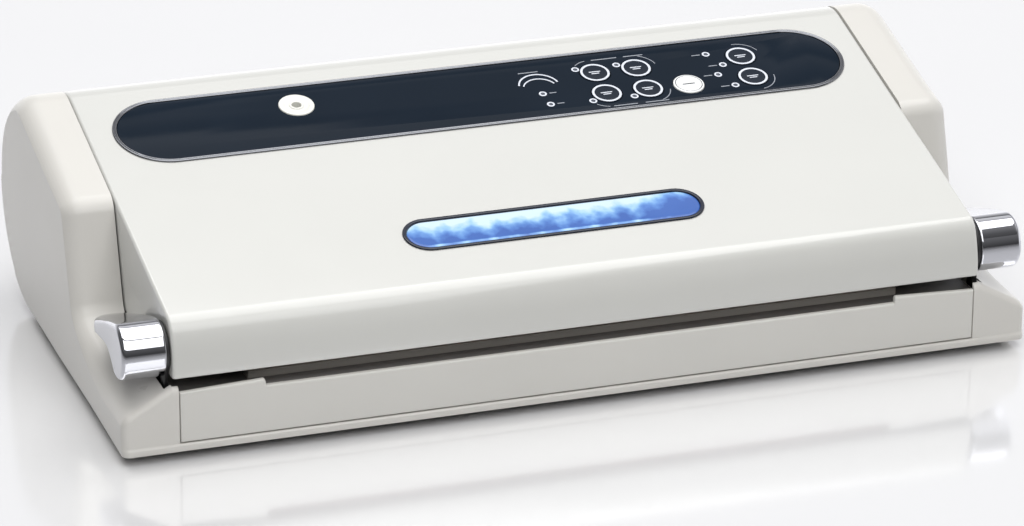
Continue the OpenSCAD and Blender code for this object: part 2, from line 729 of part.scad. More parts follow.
module window_rim() {
  color([0.07, 0.09, 0.14]) place() on_top(0, wv) difference() {
    union() {
      translate([0, 0, 0.05]) linear_extrude(0.7) oval(window_l, window_v);
      translate([0, 0, -3]) linear_extrude(3.5) oval(window_l - 1.6, window_v - 1.6);
    }
    translate([0, 0, -4]) linear_extrude(6) oval(window_l - 4, window_v - 4);
  }
}

module window_lens() {
  color([0.45, 0.70, 0.95, 0.5]) place() on_top(0, wv, -2.6) linear_extrude(2.9)
    oval(window_l - 4.4, window_v - 4.4);
}

module window_light() {
  color([0.20, 0.45, 0.95]) place() on_top(0, wv, -9) {
    linear_extrude(1.6) square([window_l - 10, window_v - 8], center = true);
    for (i = [-3:3]) translate([i * (window_l - 20) / 6, 0, 1.6]) cylinder(d = 5, h = 1.6);
  }
}

module upper_gasket() {
  color([0.16, 0.16, 0.17]) place() {
    gasket_loop(gasket_mid + seal_gap / 2, lid_z + 0.1, gasket_w - 0.6);
  }
}

module pressure_strip() {
  color([0.55, 0.20, 0.14]) place()
    box(-bar_half, bar_half, bar_y - bar_w / 2 + 1, bar_y + bar_w / 2 - 1,
      bar_top + 0.55 + seal_gap, lid_z + 0.1);
}

module lever_pins() {
  color([0.70, 0.71, 0.73]) place() both()
    rod_x(lid_half - 6, lever_out - 4, ly, lz, lever_pin_d / 2);
}

// ---------- levers, drawn on the +x side ----------
module tail_shape() {
  r = lever_r;
  t = lever_tail;
  polygon([[2, 2], [r * 0.295, r * 0.954], [t * 0.7, r * 0.34], [t * 0.95, r * 0.045],
    [t * 0.99, -r * 0.06], [t, -r * 0.2], [t * 0.985, -r * 0.36], [t * 0.94, -r * 0.45],
    [t * 0.63, -r * 0.36], [r * 1.5, -r * 0.31], [r * 1.04, -r * 0.4], [r * 0.6, -r * 0.71],
    [r * 0.34, -r * 0.92], [0, -2]]);
}

// the tail's outline seen from above, with round rear corners
module tail_plan() {
  c = 8;
  hull() {
    translate([lever_in, ly - lever_r - 1]) square([lever_out - lever_in, 10]);
    for (x = [lever_in + c, lever_out - c]) translate([x, ly + lever_tail - c]) circle(r = c);
  }
}

module lever_body() {
  difference() {
    union() {
      rod_x(lever_in, lever_out, ly, lz, lever_r);
      intersection() {
        along_x(lever_in, lever_out) translate([ly, lz]) tail_shape();
        translate([0, 0, lz - lever_r]) linear_extrude(2 * lever_r) tail_plan();
      }
    }
    rod_x(lever_in - 1, lever_out - 3, ly, lz, lever_pin_d / 2 + 0.05);
  }
}

module hook_body() {
  x0 = lid_half + 0.5;
  difference() {
    union() {
      rod_x(x0, lever_in, ly, lz, lever_r - 1);
      along_x(x0, lever_in) polygon([[ly - 8, lz - 6], [9, 28], [9.4, deck_z - 1.3],
        [16.6, deck_z - 1.3], [17, deck_z + 2], [15.6, deck_z + 4], [17, lz - 6]]);
    }
    rod_x(x0 - 1, lever_in + 1, ly, lz, lever_pin_d / 2 + 0.05);
  }
}

module lever_right() { color([0.80, 0.81, 0.83]) place() lever_body(); }
module lever_left() { color([0.80, 0.81, 0.83]) place() mirror([1, 0, 0]) lever_body(); }
module hook_right() { color([0.09, 0.09, 0.10]) place() hook_body(); }
module hook_left() { color([0.09, 0.09, 0.10]) place() mirror([1, 0, 0]) hook_body(); }

// ---------- keys ----------
module key_cap(n) {
  stem = board_w + 5.8 + key_travel + 0.15;
  place() on_top(key_at(n)[0], key_at(n)[1]) {
    translate([0, 0, -1.6]) cylinder(r = key_r, h = 1.6 + key_top, $fn = 96);
    translate([0, 0, stem]) cylinder(d = 4, h = -1.5 - stem);
  }
}

module key_upper_left() { color([0.16, 0.18, 0.24]) key_cap(0); }
module key_upper_right() { color([0.16, 0.18, 0.24]) key_cap(1); }
module key_lower_left() { color([0.16, 0.18, 0.24]) key_cap(2); }
module key_lower_right() { color([0.16, 0.18, 0.24]) key_cap(3); }
module key_seal() { color([0.88, 0.88, 0.86]) key_cap(4); }
module key_mode_upper() { color([0.16, 0.18, 0.24]) key_cap(5); }
module key_mode_lower() { color([0.16, 0.18, 0.24]) key_cap(6); }

base_housing();
bottom_plate();
front_panel();
rubber_feet();
bottom_screws();
inner_deck();
seal_bar();
heating_wire();
release_tape();
lower_gasket();
drip_tray();
pump_motor();
pump_head();
pump_mounts();
chamber_hose();
release_valve();
valve_hose();
transformer_core();
transformer_coil();
power_board();
power_relay();
power_capacitor();
heat_sink();
mains_inlet();
inlet_pins();
mains_wires();
latch_switches();
latch_catches();
hinge_pins();
lid_shell();
lid_liner();
lid_screws();
panel_rim();
control_overlay();
port_disc();
port_hose();
control_board();
key_switches();
indicator_lamps();
gauge_lamps();
window_rim();
window_lens();
window_light();
upper_gasket();
pressure_strip();
lever_pins();
lever_left();
hook_left();
lever_right();
hook_right();
key_upper_left();
key_upper_right();
key_lower_left();
key_lower_right();
key_seal();
key_mode_upper();
key_mode_lower();
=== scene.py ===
"""Vacuum sealer: materials, detailed shells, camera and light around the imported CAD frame."""
import math
import bmesh
import bpy
from mathutils import Matrix, Vector

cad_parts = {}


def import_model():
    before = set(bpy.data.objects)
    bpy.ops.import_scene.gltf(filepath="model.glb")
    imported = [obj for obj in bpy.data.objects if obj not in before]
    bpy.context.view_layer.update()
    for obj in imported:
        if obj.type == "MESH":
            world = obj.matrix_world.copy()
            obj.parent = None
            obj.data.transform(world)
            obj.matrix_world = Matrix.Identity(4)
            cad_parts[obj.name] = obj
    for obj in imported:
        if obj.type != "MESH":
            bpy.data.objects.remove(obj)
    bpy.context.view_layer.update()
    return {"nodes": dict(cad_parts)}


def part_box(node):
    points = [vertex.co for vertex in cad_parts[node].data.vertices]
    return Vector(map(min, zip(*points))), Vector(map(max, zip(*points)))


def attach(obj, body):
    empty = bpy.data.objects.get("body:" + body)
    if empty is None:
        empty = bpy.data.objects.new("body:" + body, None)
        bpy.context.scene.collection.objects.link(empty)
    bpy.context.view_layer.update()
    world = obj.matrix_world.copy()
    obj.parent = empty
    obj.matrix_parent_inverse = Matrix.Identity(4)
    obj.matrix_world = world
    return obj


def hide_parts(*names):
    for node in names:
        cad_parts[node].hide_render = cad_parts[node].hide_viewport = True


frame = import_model()

MM = 0.001                             # one millimetre in the frame's metres
nodes = frame["nodes"]

# ---------------------------------------------------------------- sizes in millimetres, from the CAD
lo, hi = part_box("base_housing")
HALF = hi.x / MM                       # half width over the housings
DEPTH = (hi.y - lo.y) / MM
HEIGHT = (hi.z - lo.z) / MM
DRAWN_DEPTH, DRAWN_HEIGHT = 226.8, 103.44   # the outlines below are drawn for this size
KY, KZ = DEPTH / DRAWN_DEPTH, HEIGHT / DRAWN_HEIGHT
DROP = 1.2                             # the lower rim hangs this far below the bottom plate
Y0 = lo.y / MM                         # front lip
Z0 = lo.z / MM + DROP * KZ
LID_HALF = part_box("lid_shell")[1].x / MM
LID_GAP = 0.6                          # between the lid's end and the side housing
IN_HALF = LID_HALF + LID_GAP
SIDE_W = HALF - LID_HALF
TOP_Z0 = 57.1 * KZ                     # lid plane at the front lip
RISE = 0.2495 * KZ / KY                # the lid plane's rise over its run
SLOPE = math.atan(RISE)
PANEL_V = 150.5 * KY                   # middle of the control panel, up the slope
WINDOW_V = 47.5 * KY                   # middle of the window, up the slope
HINGE_Y, HINGE_Z = 212 * KY, 80 * KZ   # hinge axis
BARREL_R = 4.2                         # hinge barrel and knuckles
KNUCKLE_HALF = 5
KNUCKLES = [s * (x + KNUCKLE_HALF) for s in (-1, 1) for x in (60, 130)]

# Outline of the side housings: y, z and radius of its three big arcs, and its round-overs
REAR_ARC = (171.8, 49.8, 55)
HEEL_ARC = (175.8, 49.8, 51)
CREST_ARC = (184, 77.24, 25)
CREST_FROM, CREST_TO = 66, 104         # degrees, from the rear arc to the lid's slope
EDGE_R, LIP_R = 10.5, 3.8              # round-over of the tall part and of the front corner
LIP = [(0.8, -1.2), (0.22, -0.98), (0.0, -0.45), (0.0, 1.4), (0.2, 1.95), (0.72, 2.45)]


def point(x, y, z):
    """A point given in millimetres from the front bottom edge, in the shared frame."""
    return Vector((x * MM, (Y0 + y) * MM, (Z0 + z) * MM))


def top_matrix(x=0.0, v=0.0, w=0.0):
    """Local frame on the lid's top plane: y up the slope, z out of it."""
    m = Matrix.Translation(point(0, 0, TOP_Z0)) @ Matrix.Rotation(SLOPE, 4, "X")
    return m @ Matrix.Translation(Vector((x, v, w)) * MM)


# ---------------------------------------------------------------- materials
def new_mat(name):
    m = bpy.data.materials.new(name)
    m.use_nodes = True
    nt = m.node_tree
    return m, nt, nt.nodes["Principled BSDF"]


def noise(nt, scale, detail=3.0):
    tc = nt.nodes.new("ShaderNodeTexCoord")
    n = nt.nodes.new("ShaderNodeTexNoise")
    n.inputs["Scale"].default_value = scale
    n.inputs["Detail"].default_value = detail
    n.inputs["Roughness"].default_value = 0.5
    nt.links.new(tc.outputs["Object"], n.inputs["Vector"])
    return n.outputs["Fac"]


def ramp(nt, fac, a, b, p0=0.3, p1=0.7):
    r = nt.nodes.new("ShaderNodeValToRGB")
    r.color_ramp.elements[0].position = p0
    r.color_ramp.elements[1].position = p1
    r.color_ramp.elements[0].color = (*a, 1)
    r.color_ramp.elements[1].color = (*b, 1)
    nt.links.new(fac, r.inputs["Fac"])
    return r.outputs["Color"]


def spread(nt, fac, a, b):
    m = nt.nodes.new("ShaderNodeMapRange")
    m.inputs["To Min"].default_value = a
    m.inputs["To Max"].default_value = b
    nt.links.new(fac, m.inputs["Value"])
    return m.outputs["Result"]


def bump(nt, fac, strength, dist):
    b = nt.nodes.new("ShaderNodeBump")
    b.inputs["Strength"].default_value = strength
    b.inputs["Distance"].default_value = dist
    nt.links.new(fac, b.inputs["Height"])
    return b.outputs["Normal"]


def moulded(name, col, var=0.03, rough=(0.3, 0.4), grain=900.0, grain_h=0.00002, strength=0.15,
            coat=0.0, coat_rough=0.1, metal=0.0, spec=0.5):
    """Plastic, rubber or metal: slow colour drift, uneven gloss and a fine surface grain."""
    m, nt, b = new_mat(name)
    c0 = tuple(max(0.0, c * (1 - var)) for c in col)
    c1 = tuple(min(1.0, c * (1 + var)) for c in col)
    drift = 14.0
    nt.links.new(ramp(nt, noise(nt, drift), c0, c1), b.inputs["Base Color"])
    nt.links.new(spread(nt, noise(nt, drift * 4), *rough), b.inputs["Roughness"])
    nt.links.new(bump(nt, noise(nt, grain, 2.0), strength, grain_h), b.inputs["Normal"])
    b.inputs["Metallic"].default_value = metal
    b.inputs["Coat Weight"].default_value = coat
    b.inputs["Coat Roughness"].default_value = coat_rough
    b.inputs["Specular IOR Level"].default_value = spec
    return m


def brushed(name, col, rough=(0.25, 0.4), axis=0, grain=500.0):
    """Metal with fine lines along one axis."""
    m, nt, b = new_mat(name)
    tc = nt.nodes.new("ShaderNodeTexCoord")
    mp = nt.nodes.new("ShaderNodeMapping")
    sc = [grain * 4] * 3
    sc[axis] = 6.0
    mp.inputs["Scale"].default_value = sc
    n = nt.nodes.new("ShaderNodeTexNoise")
    n.inputs["Scale"].default_value = 1.0
    nt.links.new(tc.outputs["Object"], mp.inputs["Vector"])
    nt.links.new(mp.outputs["Vector"], n.inputs["Vector"])
    nt.links.new(ramp(nt, n.outputs["Fac"], tuple(c * 0.86 for c in col), col), b.inputs["Base Color"])
    nt.links.new(spread(nt, n.outputs["Fac"], *rough), b.inputs["Roughness"])
    nt.links.new(bump(nt, n.outputs["Fac"], 0.2, 0.00002), b.inputs["Normal"])
    b.inputs["Metallic"].default_value = 1.0
    return m


def glowing(name, col, power, spots):
    """Lit surface with slow patches."""
    m, nt, b = new_mat(name)
    c0 = tuple(c * 0.8 for c in col)
    colour = ramp(nt, noise(nt, spots), c0, col)
    nt.links.new(colour, b.inputs["Base Color"])
    nt.links.new(colour, b.inputs["Emission Color"])
    nt.links.new(spread(nt, noise(nt, spots * 2), power * 0.8, power), b.inputs["Emission Strength"])
    nt.links.new(spread(nt, noise(nt, spots * 3), 0.25, 0.4), b.inputs["Roughness"])
    return m


MATERIALS = {
    "lid": moulded("lid_gloss", (0.575, 0.575, 0.548), 0.012, (0.18, 0.24), coat=0.5, coat_rough=0.08),
    "shell": moulded("shell_gloss", (0.60, 0.585, 0.55), 0.015, (0.26, 0.32), coat=0.1, spec=0.35),
    "fascia": moulded("fascia_satin", (0.60, 0.59, 0.555), 0.015, (0.34, 0.42), coat=0.1, coat_rough=0.25),
    # painted shade: the inner deck is coloured near black so the gap under the lid reads dark
    "deck": moulded("deck_painted_shade", (0.105, 0.10, 0.095), 0.05, (0.4, 0.5)),
    # painted shade: the liner is darkened and warmed to stand in for the warm shade under the lid
    "liner": moulded("liner_painted_shade", (0.40, 0.375, 0.32), 0.02, (0.4, 0.5)),
    "pan": moulded("pan_grain", (0.06, 0.06, 0.064), 0.08, (0.5, 0.65), 500, 0.00008, 0.5),
    "rubber": moulded("rubber_black", (0.018, 0.018, 0.019), 0.15, (0.6, 0.75), 700, 0.00006, 0.4),
    "silicone": moulded("silicone_red", (0.30, 0.07, 0.045), 0.08, (0.45, 0.6), 600, 0.00005, 0.3),
    "steel": brushed("steel_plain", (0.60, 0.61, 0.63)),
    "bar": moulded("bar_heatproof", (0.36, 0.34, 0.31), 0.06, (0.45, 0.6)),
    "nickel": brushed("nickel_wire", (0.62, 0.58, 0.49)),
    "tray": moulded("tray_satin", (0.17, 0.18, 0.19), 0.05, (0.3, 0.42)),
    "black_plastic": moulded("black_satin", (0.012, 0.012, 0.013), 0.15, (0.35, 0.5)),
    "pump": moulded("pump_dark", (0.035, 0.037, 0.042), 0.1, (0.45, 0.55)),
    "hose": moulded("hose_soft", (0.46, 0.48, 0.50), 0.05, (0.3, 0.42), coat=0.2),
    "brass": brushed("brass_plain", (0.62, 0.45, 0.16)),
    "winding": moulded("winding_copper", (0.36, 0.14, 0.05), 0.15, (0.3, 0.45), 1200, 0.0001, 0.6, metal=0.6),
    "core": brushed("core_laminated", (0.20, 0.21, 0.22), (0.4, 0.55), axis=0, grain=350),
    "board": moulded("board_green", (0.015, 0.10, 0.035), 0.25, (0.25, 0.4), 1500, 0.00005, 0.4, coat=0.3),
    "relay": moulded("relay_blue", (0.015, 0.03, 0.16), 0.06, (0.25, 0.35)),
    "cap": moulded("capacitor_black", (0.02, 0.02, 0.025), 0.1, (0.2, 0.3), coat=0.3),
    "alu": brushed("aluminium_fins", (0.64, 0.65, 0.67), axis=2),
    "wire": moulded("wire_brown", (0.14, 0.05, 0.02), 0.1, (0.3, 0.4)),
    "rim": moulded("rim_silver", (0.19, 0.195, 0.21), 0.02, (0.10, 0.16), 900, 0.00001, 0.1, metal=1.0),
    "chrome": moulded("lever_chrome", (0.56, 0.565, 0.60), 0.01, (0.035, 0.07), 300, 0.000004, 0.05,
                      metal=1.0),
    "overlay": moulded("overlay_gloss", (0.0065, 0.0125, 0.022), 0.10, (0.12, 0.18), spec=0.05),
    "port": moulded("port_white", (0.74, 0.74, 0.69), 0.02, (0.25, 0.35), coat=0.2),
    "key_dark": moulded("key_gloss", (0.0075, 0.0135, 0.024), 0.10, (0.16, 0.22), spec=0.14),
    "key_white": moulded("key_white", (0.80, 0.81, 0.80), 0.02, (0.2, 0.3), coat=0.5),
    "window_frame": moulded("window_frame", (0.008, 0.012, 0.026), 0.10, (0.14, 0.2), spec=0.4),
    "print": moulded("print_white", (0.66, 0.69, 0.76), 0.03, (0.3, 0.4)),
    "print_dim": moulded("print_dim", (0.27, 0.29, 0.33), 0.03, (0.3, 0.4)),
    "lamp": moulded("lamp_smoked", (0.05, 0.06, 0.085), 0.10, (0.15, 0.22)),
    "glow": glowing("window_board", (0.10, 0.33, 0.80), 1.1, 25.0),
}


def tape_material():
    """Coated glass cloth: a fine woven check."""
    m, nt, b = new_mat("tape_cloth")
    tc = nt.nodes.new("ShaderNodeTexCoord")
    ch = nt.nodes.new("ShaderNodeTexChecker")
    ch.inputs["Scale"].default_value = 1600.0
    nt.links.new(tc.outputs["Object"], ch.inputs["Vector"])
    nt.links.new(ramp(nt, noise(nt, 90), (0.20, 0.11, 0.055), (0.27, 0.155, 0.08)), b.inputs["Base Color"])
    nt.links.new(spread(nt, ch.outputs["Fac"], 0.3, 0.5), b.inputs["Roughness"])
    nt.links.new(bump(nt, ch.outputs["Fac"], 0.4, 0.00005), b.inputs["Normal"])
    return m


def math_node(nt, op, a, b, clamp=False):
    m = nt.nodes.new("ShaderNodeMath")
    m.operation = op
    m.use_clamp = clamp
    for k, v in enumerate((a, b)):
        if isinstance(v, (int, float)):
            m.inputs[k].default_value = v
        else:
            nt.links.new(v, m.inputs[k])
    return m.outputs["Value"]


def window_material():
    """Blue plastic lit from behind: a bright uneven band above, deep blue at the right end."""
    m, nt, b = new_mat("window_lit")
    tc = nt.nodes.new("ShaderNodeTexCoord")
    mp = nt.nodes.new("ShaderNodeMapping")
    mp.vector_type = "TEXTURE"
    mp.inputs["Location"].default_value = top_matrix(0, WINDOW_V).translation
    mp.inputs["Rotation"].default_value = (SLOPE, 0, 0)
    nt.links.new(tc.outputs["Object"], mp.inputs["Vector"])
    sep = nt.nodes.new("ShaderNodeSeparateXYZ")
    nt.links.new(mp.outputs["Vector"], sep.inputs["Vector"])

    def times(a, k):
        return math_node(nt, "MULTIPLY", a, k)

    def add(a, c):
        return math_node(nt, "ADD", a, c)

    def take(a, c):
        return math_node(nt, "SUBTRACT", a, c)

    def past(gap, rate):
        """Nought up to an edge, then rising to one."""
        return math_node(nt, "MULTIPLY", gap, rate, True)

    def blobs(scale, amount):
        n = nt.nodes.new("ShaderNodeTexNoise")
        n.inputs["Scale"].default_value = scale
        n.inputs["Detail"].default_value = 2.0
        nt.links.new(mp.outputs["Vector"], n.inputs["Vector"])
        return times(take(n.outputs["Fac"], 0.5), amount)
    x = times(sep.outputs["X"], 1 / MM)
    t = times(sep.outputs["Y"], 1 / MM)
    upward, ripple, ripple_rate = 0.088, 0.13, 0.52          # per mm, share, radians per mm
    right_edge, left_edge, low_edge = 38.0, -58.0, -7.6      # mm from the window's middle
    level = times(t, upward)
    level = add(level, blobs(75.0, 1.15))
    level = add(level, blobs(300.0, 0.4))
    wave = math_node(nt, "SINE", times(x, ripple_rate), 0)
    level = add(level, times(wave, ripple))
    right = past(take(x, right_edge), 0.045)
    left = past(take(left_edge, x), 0.07)
    level = take(level, times(right, 0.75))
    level = take(level, times(left, 0.5))
    low = past(take(low_edge, t), 1.2)
    level = add(level, times(low, 0.75))
    r = nt.nodes.new("ShaderNodeValToRGB")
    nt.links.new(math_node(nt, "ADD", level, 0.5, True), r.inputs["Fac"])
    e = r.color_ramp.elements
    stops = ((0.0, (0.03, 0.09, 0.36)), (1.0, (0.80, 0.96, 1.0)), (0.22, (0.08, 0.20, 0.54)),
             (0.46, (0.17, 0.36, 0.70)), (0.72, (0.42, 0.70, 0.92)))
    for k, (pos, col) in enumerate(stops):
        q = e[k] if k < 2 else e.new(pos)
        q.position = pos
        q.color = (*col, 1)
    nt.links.new(r.outputs["Color"], b.inputs["Emission Color"])
    nt.links.new(spread(nt, noise(nt, 60), 0.85, 0.95), b.inputs["Emission Strength"])
    nt.links.new(ramp(nt, noise(nt, 40), (0.02, 0.05, 0.14), (0.03, 0.07, 0.18)), b.inputs["Base Color"])
    nt.links.new(spread(nt, noise(nt, 60), 0.08, 0.14), b.inputs["Roughness"])
    b.inputs["Specular IOR Level"].default_value = 0.4
    return m


MATERIALS["tape"] = tape_material()
MATERIALS["window"] = window_material()


# ---------------------------------------------------------------- mesh helpers
def soften(me, smooth):
    """Smooth shading that breaks at edges sharper than the angle."""
    for p in me.polygons:
        p.use_smooth = True
    me.set_sharp_from_angle(angle=math.radians(smooth))


def make(name, verts, faces, mat, smooth=35.0):
    """One mesh object from points and faces, with its normals outwards."""
    me = bpy.data.meshes.new(name)
    me.from_pydata([tuple(v) for v in verts], [], faces)
    me.validate()
    bm = bmesh.new()
    bm.from_mesh(me)
    bmesh.ops.remove_doubles(bm, verts=bm.verts, dist=1e-7)
    bmesh.ops.recalc_face_normals(bm, faces=bm.faces)
    bm.to_mesh(me)
    bm.free()
    soften(me, smooth)
    o = bpy.data.objects.new(name, me)
    bpy.context.scene.collection.objects.link(o)
    if mat is not None:
        me.materials.append(MATERIALS[mat])
    return o


def bake(o, smooth=35.0):
    """Apply the modifiers for good."""
    bpy.context.view_layer.update()
    ev = o.evaluated_get(bpy.context.evaluated_depsgraph_get())
    me = bpy.data.meshes.new_from_object(ev)
    o.modifiers.clear()
    old = o.data
    o.data = me
    me.name = o.name
    bpy.data.meshes.remove(old)
    soften(me, smooth)
    return o


def cut(o, tool, op="DIFFERENCE"):
    """Cut the tool out of the object, or join it on with UNION."""
    m = o.modifiers.new("b", "BOOLEAN")
    m.operation = op
    m.object = tool
    m.solver = "EXACT"
    bake(o)
    bpy.data.objects.remove(tool)
    return o


def bevel(o, width, seg):
    m = o.modifiers.new("bevel", "BEVEL")
    m.width = width * MM
    m.segments = seg
    m.limit_method = "ANGLE"
    m.angle_limit = math.radians(30)
    m.harden_normals = False
    return bake(o)


def rings(name, loops, mat, closed=False, smooth=35.0):
    """Skin through equal loops of points; the ends are capped unless closed."""
    n = len(loops[0])
    verts = [p for loop in loops for p in loop]
    faces = []
    for j in range(len(loops) - (0 if closed else 1)):
        a, b = j * n, ((j + 1) % len(loops)) * n
        faces += [(a + i, a + (i + 1) % n, b + (i + 1) % n, b + i) for i in range(n)]
    if not closed:
        faces.append(tuple(range(n))[::-1])
        faces.append(tuple(range((len(loops) - 1) * n, len(loops) * n)))
    return make(name, verts, faces, mat, smooth)


def block(x0, x1, y0, y1, z0, z1, mat=None):
    v = [point(x, y, z) for x in (x0, x1) for y in (y0, y1) for z in (z0, z1)]
    f = [(0, 1, 3, 2), (4, 6, 7, 5), (0, 4, 5, 1), (2, 3, 7, 6), (0, 2, 6, 4), (1, 5, 7, 3)]
    return make("block", v, f, mat)


def across(x=0.0):
    """Local frame on the hinge axis, whose z runs along x."""
    return Matrix.Translation(point(x, HINGE_Y, HINGE_Z)) @ Matrix.Rotation(math.pi / 2, 4, "Y")


def prism_x(name, pts, x0, x1, mat):
    """A [y, z] outline drawn out along x."""
    return rings(name, [[point(x, y, z) for y, z in pts] for x in (x0, x1)], mat)


def turned(name, prof, axis_m, mat, n=48, smooth=35.0):
    """A profile of (radius, height) turned about the local z of axis_m."""
    turns = [2 * math.pi * i / n for i in range(n)]
    loops = []
    for radius, h in prof:
        r = max(radius, 1e-4)
        loops.append([axis_m @ (Vector((r * math.cos(a), r * math.sin(a), h)) * MM) for a in turns])
    return rings(name, loops, mat, smooth=smooth)


def turned_ring(name, prof, axis_m, mat, n=64, smooth=35.0):
    """A closed profile turned about the local z: a ring with a hole."""
    loops = []
    for i in range(n):
        a = 2 * math.pi * i / n
        loops.append([axis_m @ (Vector((r * math.cos(a), r * math.sin(a), h)) * MM) for r, h in prof])
    return rings(name, loops, mat, closed=True, smooth=smooth)


def oval_pts(l, h, n=24):
    """Stadium outline, anticlockwise, l long over all and h wide."""
    r = h / 2
    c = l / 2 - r
    out = [(c + r * math.cos(a), r * math.sin(a))
           for a in [-math.pi / 2 + math.pi * i / n for i in range(n + 1)]]
    out += [(-c + r * math.cos(a), r * math.sin(a))
            for a in [math.pi / 2 + math.pi * i / n for i in range(n + 1)]]
    return out


def oval_stack(name, l, h, prof, m, mat, n=24, smooth=35.0):
    """Ovals stacked along local z: prof is (inset, height)."""
    loops = []
    for d, w in prof:
        loops.append([m @ (Vector((x, y, w)) * MM) for x, y in oval_pts(l - 2 * d, h - 2 * d, n)])
    return rings(name, loops, mat, smooth=smooth)


def oval_ring(name, l, h, prof, m, mat, n=24, smooth=35.0):
    """A closed (inset, height) section swept round an oval."""
    k = len(oval_pts(l, h, n))
    loops = []
    per = [oval_pts(l - 2 * d, h - 2 * d, n) for d, w in prof]
    for i in range(k):
        loops.append([m @ (Vector((per[j][i][0], per[j][i][1], prof[j][1])) * MM)
                      for j in range(len(prof))])
    return rings(name, loops, mat, closed=True, smooth=smooth)


def stand_for(o, body, *cad):
    """Let the object ride on its body in place of the CAD node."""
    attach(o, body)
    if cad:
        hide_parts(*cad)
    return o


# ---------------------------------------------------------------- outlines
def arc(cy, cz, r, a0, a1, n, rf, sg=1, skip=False, rf1=None):
    """Arc of y, z, normal y, normal z and edge radii; sg is -1 where the arc is hollow."""
    out = []
    for i in range(1 if skip else 0, n + 1):
        a = math.radians(a0 + (a1 - a0) * i / n)
        e = rf if rf1 is None else rf + (rf1 - rf) * i / n
        out.append((cy + r * math.cos(a), cz + r * math.sin(a), sg * math.cos(a), sg * math.sin(a), e, e))
    return out


def housing_outline():
    """Side housing, anticlockwise from the front bottom: y, z, normal y, normal z, edge radii."""
    o = [(0.0, -0.45, -1, 0, LIP_R, 0.6), (0.22, -0.98, -1, -1, LIP_R, 0.6),
         (0.8, -1.2, -1, -1, LIP_R, 0.6)]
    o += [(8, -1.2, 0, -1, 0.8, 0.8), (60, -1.2, 0, -1, 2.5, 2.5), (120, -1.2, 0, -1, 2.5, 2.5)]
    o += arc(*HEEL_ARC, -90, -60, 8, 4)
    o += arc(*HEEL_ARC, -60, 0, 18, 8, skip=True)
    o += arc(*REAR_ARC, 0, CREST_FROM, 22, EDGE_R, skip=True)
    o += arc(*CREST_ARC, CREST_FROM, CREST_TO, 12, EDGE_R, skip=True)
    o += [(y, z, -0.242, 0.970, EDGE_R, EDGE_R) for y, z in ((160, 97.02), (140, 92.03), (122, 87.54))]
    o += arc(107.4, 73.6, 10, 104, 163.7, 14, 9.3)
    o += [(95.0, 66.8, -0.960, 0.281, 9, 9), (91.5, 54.8, -0.960, 0.281, 8.5, 8.5)]
    o += arc(75.3, 41.9, 12, -16.3, -62, 10, 8, -1)
    o += arc(22.3, 141.7, 125, -62, -90, 18, 8, -1, True, 4.2)
    o += [(13, 16.42, 0, 1, LIP_R, LIP_R)]
    o += arc(4.4, 12.9, 3.5, 90, 180, 10, 3.4)
    o += [(0.9, 8.0, -1, 0, 3.4, 0), (0.9, 3.1, -1, 0, 3.6, 0), (0.72, 2.45, -1, 0, 3.7, 0),
          (0.2, 1.95, -1, 0, LIP_R, 0), (0.0, 1.4, -1, 0, LIP_R, 0)]
    return o


HOUSING = housing_outline()


def round_over(x, r, extra):
    """Inset at x of an edge of radius r; a large one runs out at a soft crease in the flat side."""
    small, span = 4.2, 3.8
    crease = 29 * max(0.0, min(1.0, (r - small) / span))
    big = r / math.sin(math.radians(90 - crease))
    u = max(0.0, x - (HALF - r))
    return big - math.sqrt(max(0.0, big * big - u * u)) + (extra if r > 1 else 0.0)


def housing_ring(x, extra=0.0):
    """Section of a side housing at x; its low middle rises towards the lid."""
    tall_y, toe_z, deck_z, crown_z = 85, 12, 16.4, 30
    inward = max(0.0, min(1.0, (HALF - x) / SIDE_W))
    pts = []
    for y, z, ny, nz, ry, rz in HOUSING:
        lift = 0.0 if (y > tall_y or z < toe_z) else inward * max(0.0, crown_z - max(z, deck_z))
        n = math.hypot(ny, nz) if ry == rz else 1.0
        dy, dz = ny / n * round_over(x, ry, extra), nz / n * round_over(x, rz, extra)
        pts.append(point(x, y * KY - dy, (z + lift) * KZ - dz))
    return pts


def side_housing():
    """The right housing with its front corner post; the left one is its mirror image."""
    xs = [IN_HALF, IN_HALF + 4, IN_HALF + 8.4] + [HALF - EDGE_R + EDGE_R * k / 10 for k in range(10)]
    xs += [HALF - LIP_R + LIP_R * math.sin(math.radians(t)) for t in range(12, 85, 12)]
    xs = sorted(xs) + [HALF - 0.012]
    loops = [housing_ring(x) for x in xs] + [housing_ring(HALF, 0.5)]
    right = rings("base_housing_visual", loops, "shell")
    hook_slot = block(LID_HALF - 1, IN_HALF + 3.0, 5.5, 33.4, 19, 32.2)
    cut(right, hook_slot)
    post = prism_x("post", [(0.9, 0), (0.9, 26.2 * KZ), (1.15, 27.4 * KZ), (1.6, 28.3 * KZ),
                            (2.4, 29.1 * KZ), (3.6, 29.7 * KZ), (3.6, 0)],
                   IN_HALF - 2.9, IN_HALF + 0.5, "shell")
    return cut(right, bevel(post, 0.35, 2), "UNION")


def mirrored(o, name):
    """A copy of the object on the other side of the middle plane."""
    me = o.data.copy()
    other = bpy.data.objects.new(name, me)
    bpy.context.scene.collection.objects.link(other)
    me.transform(Matrix.Scale(-1, 4, (1, 0, 0)))
    me.flip_normals()
    return other


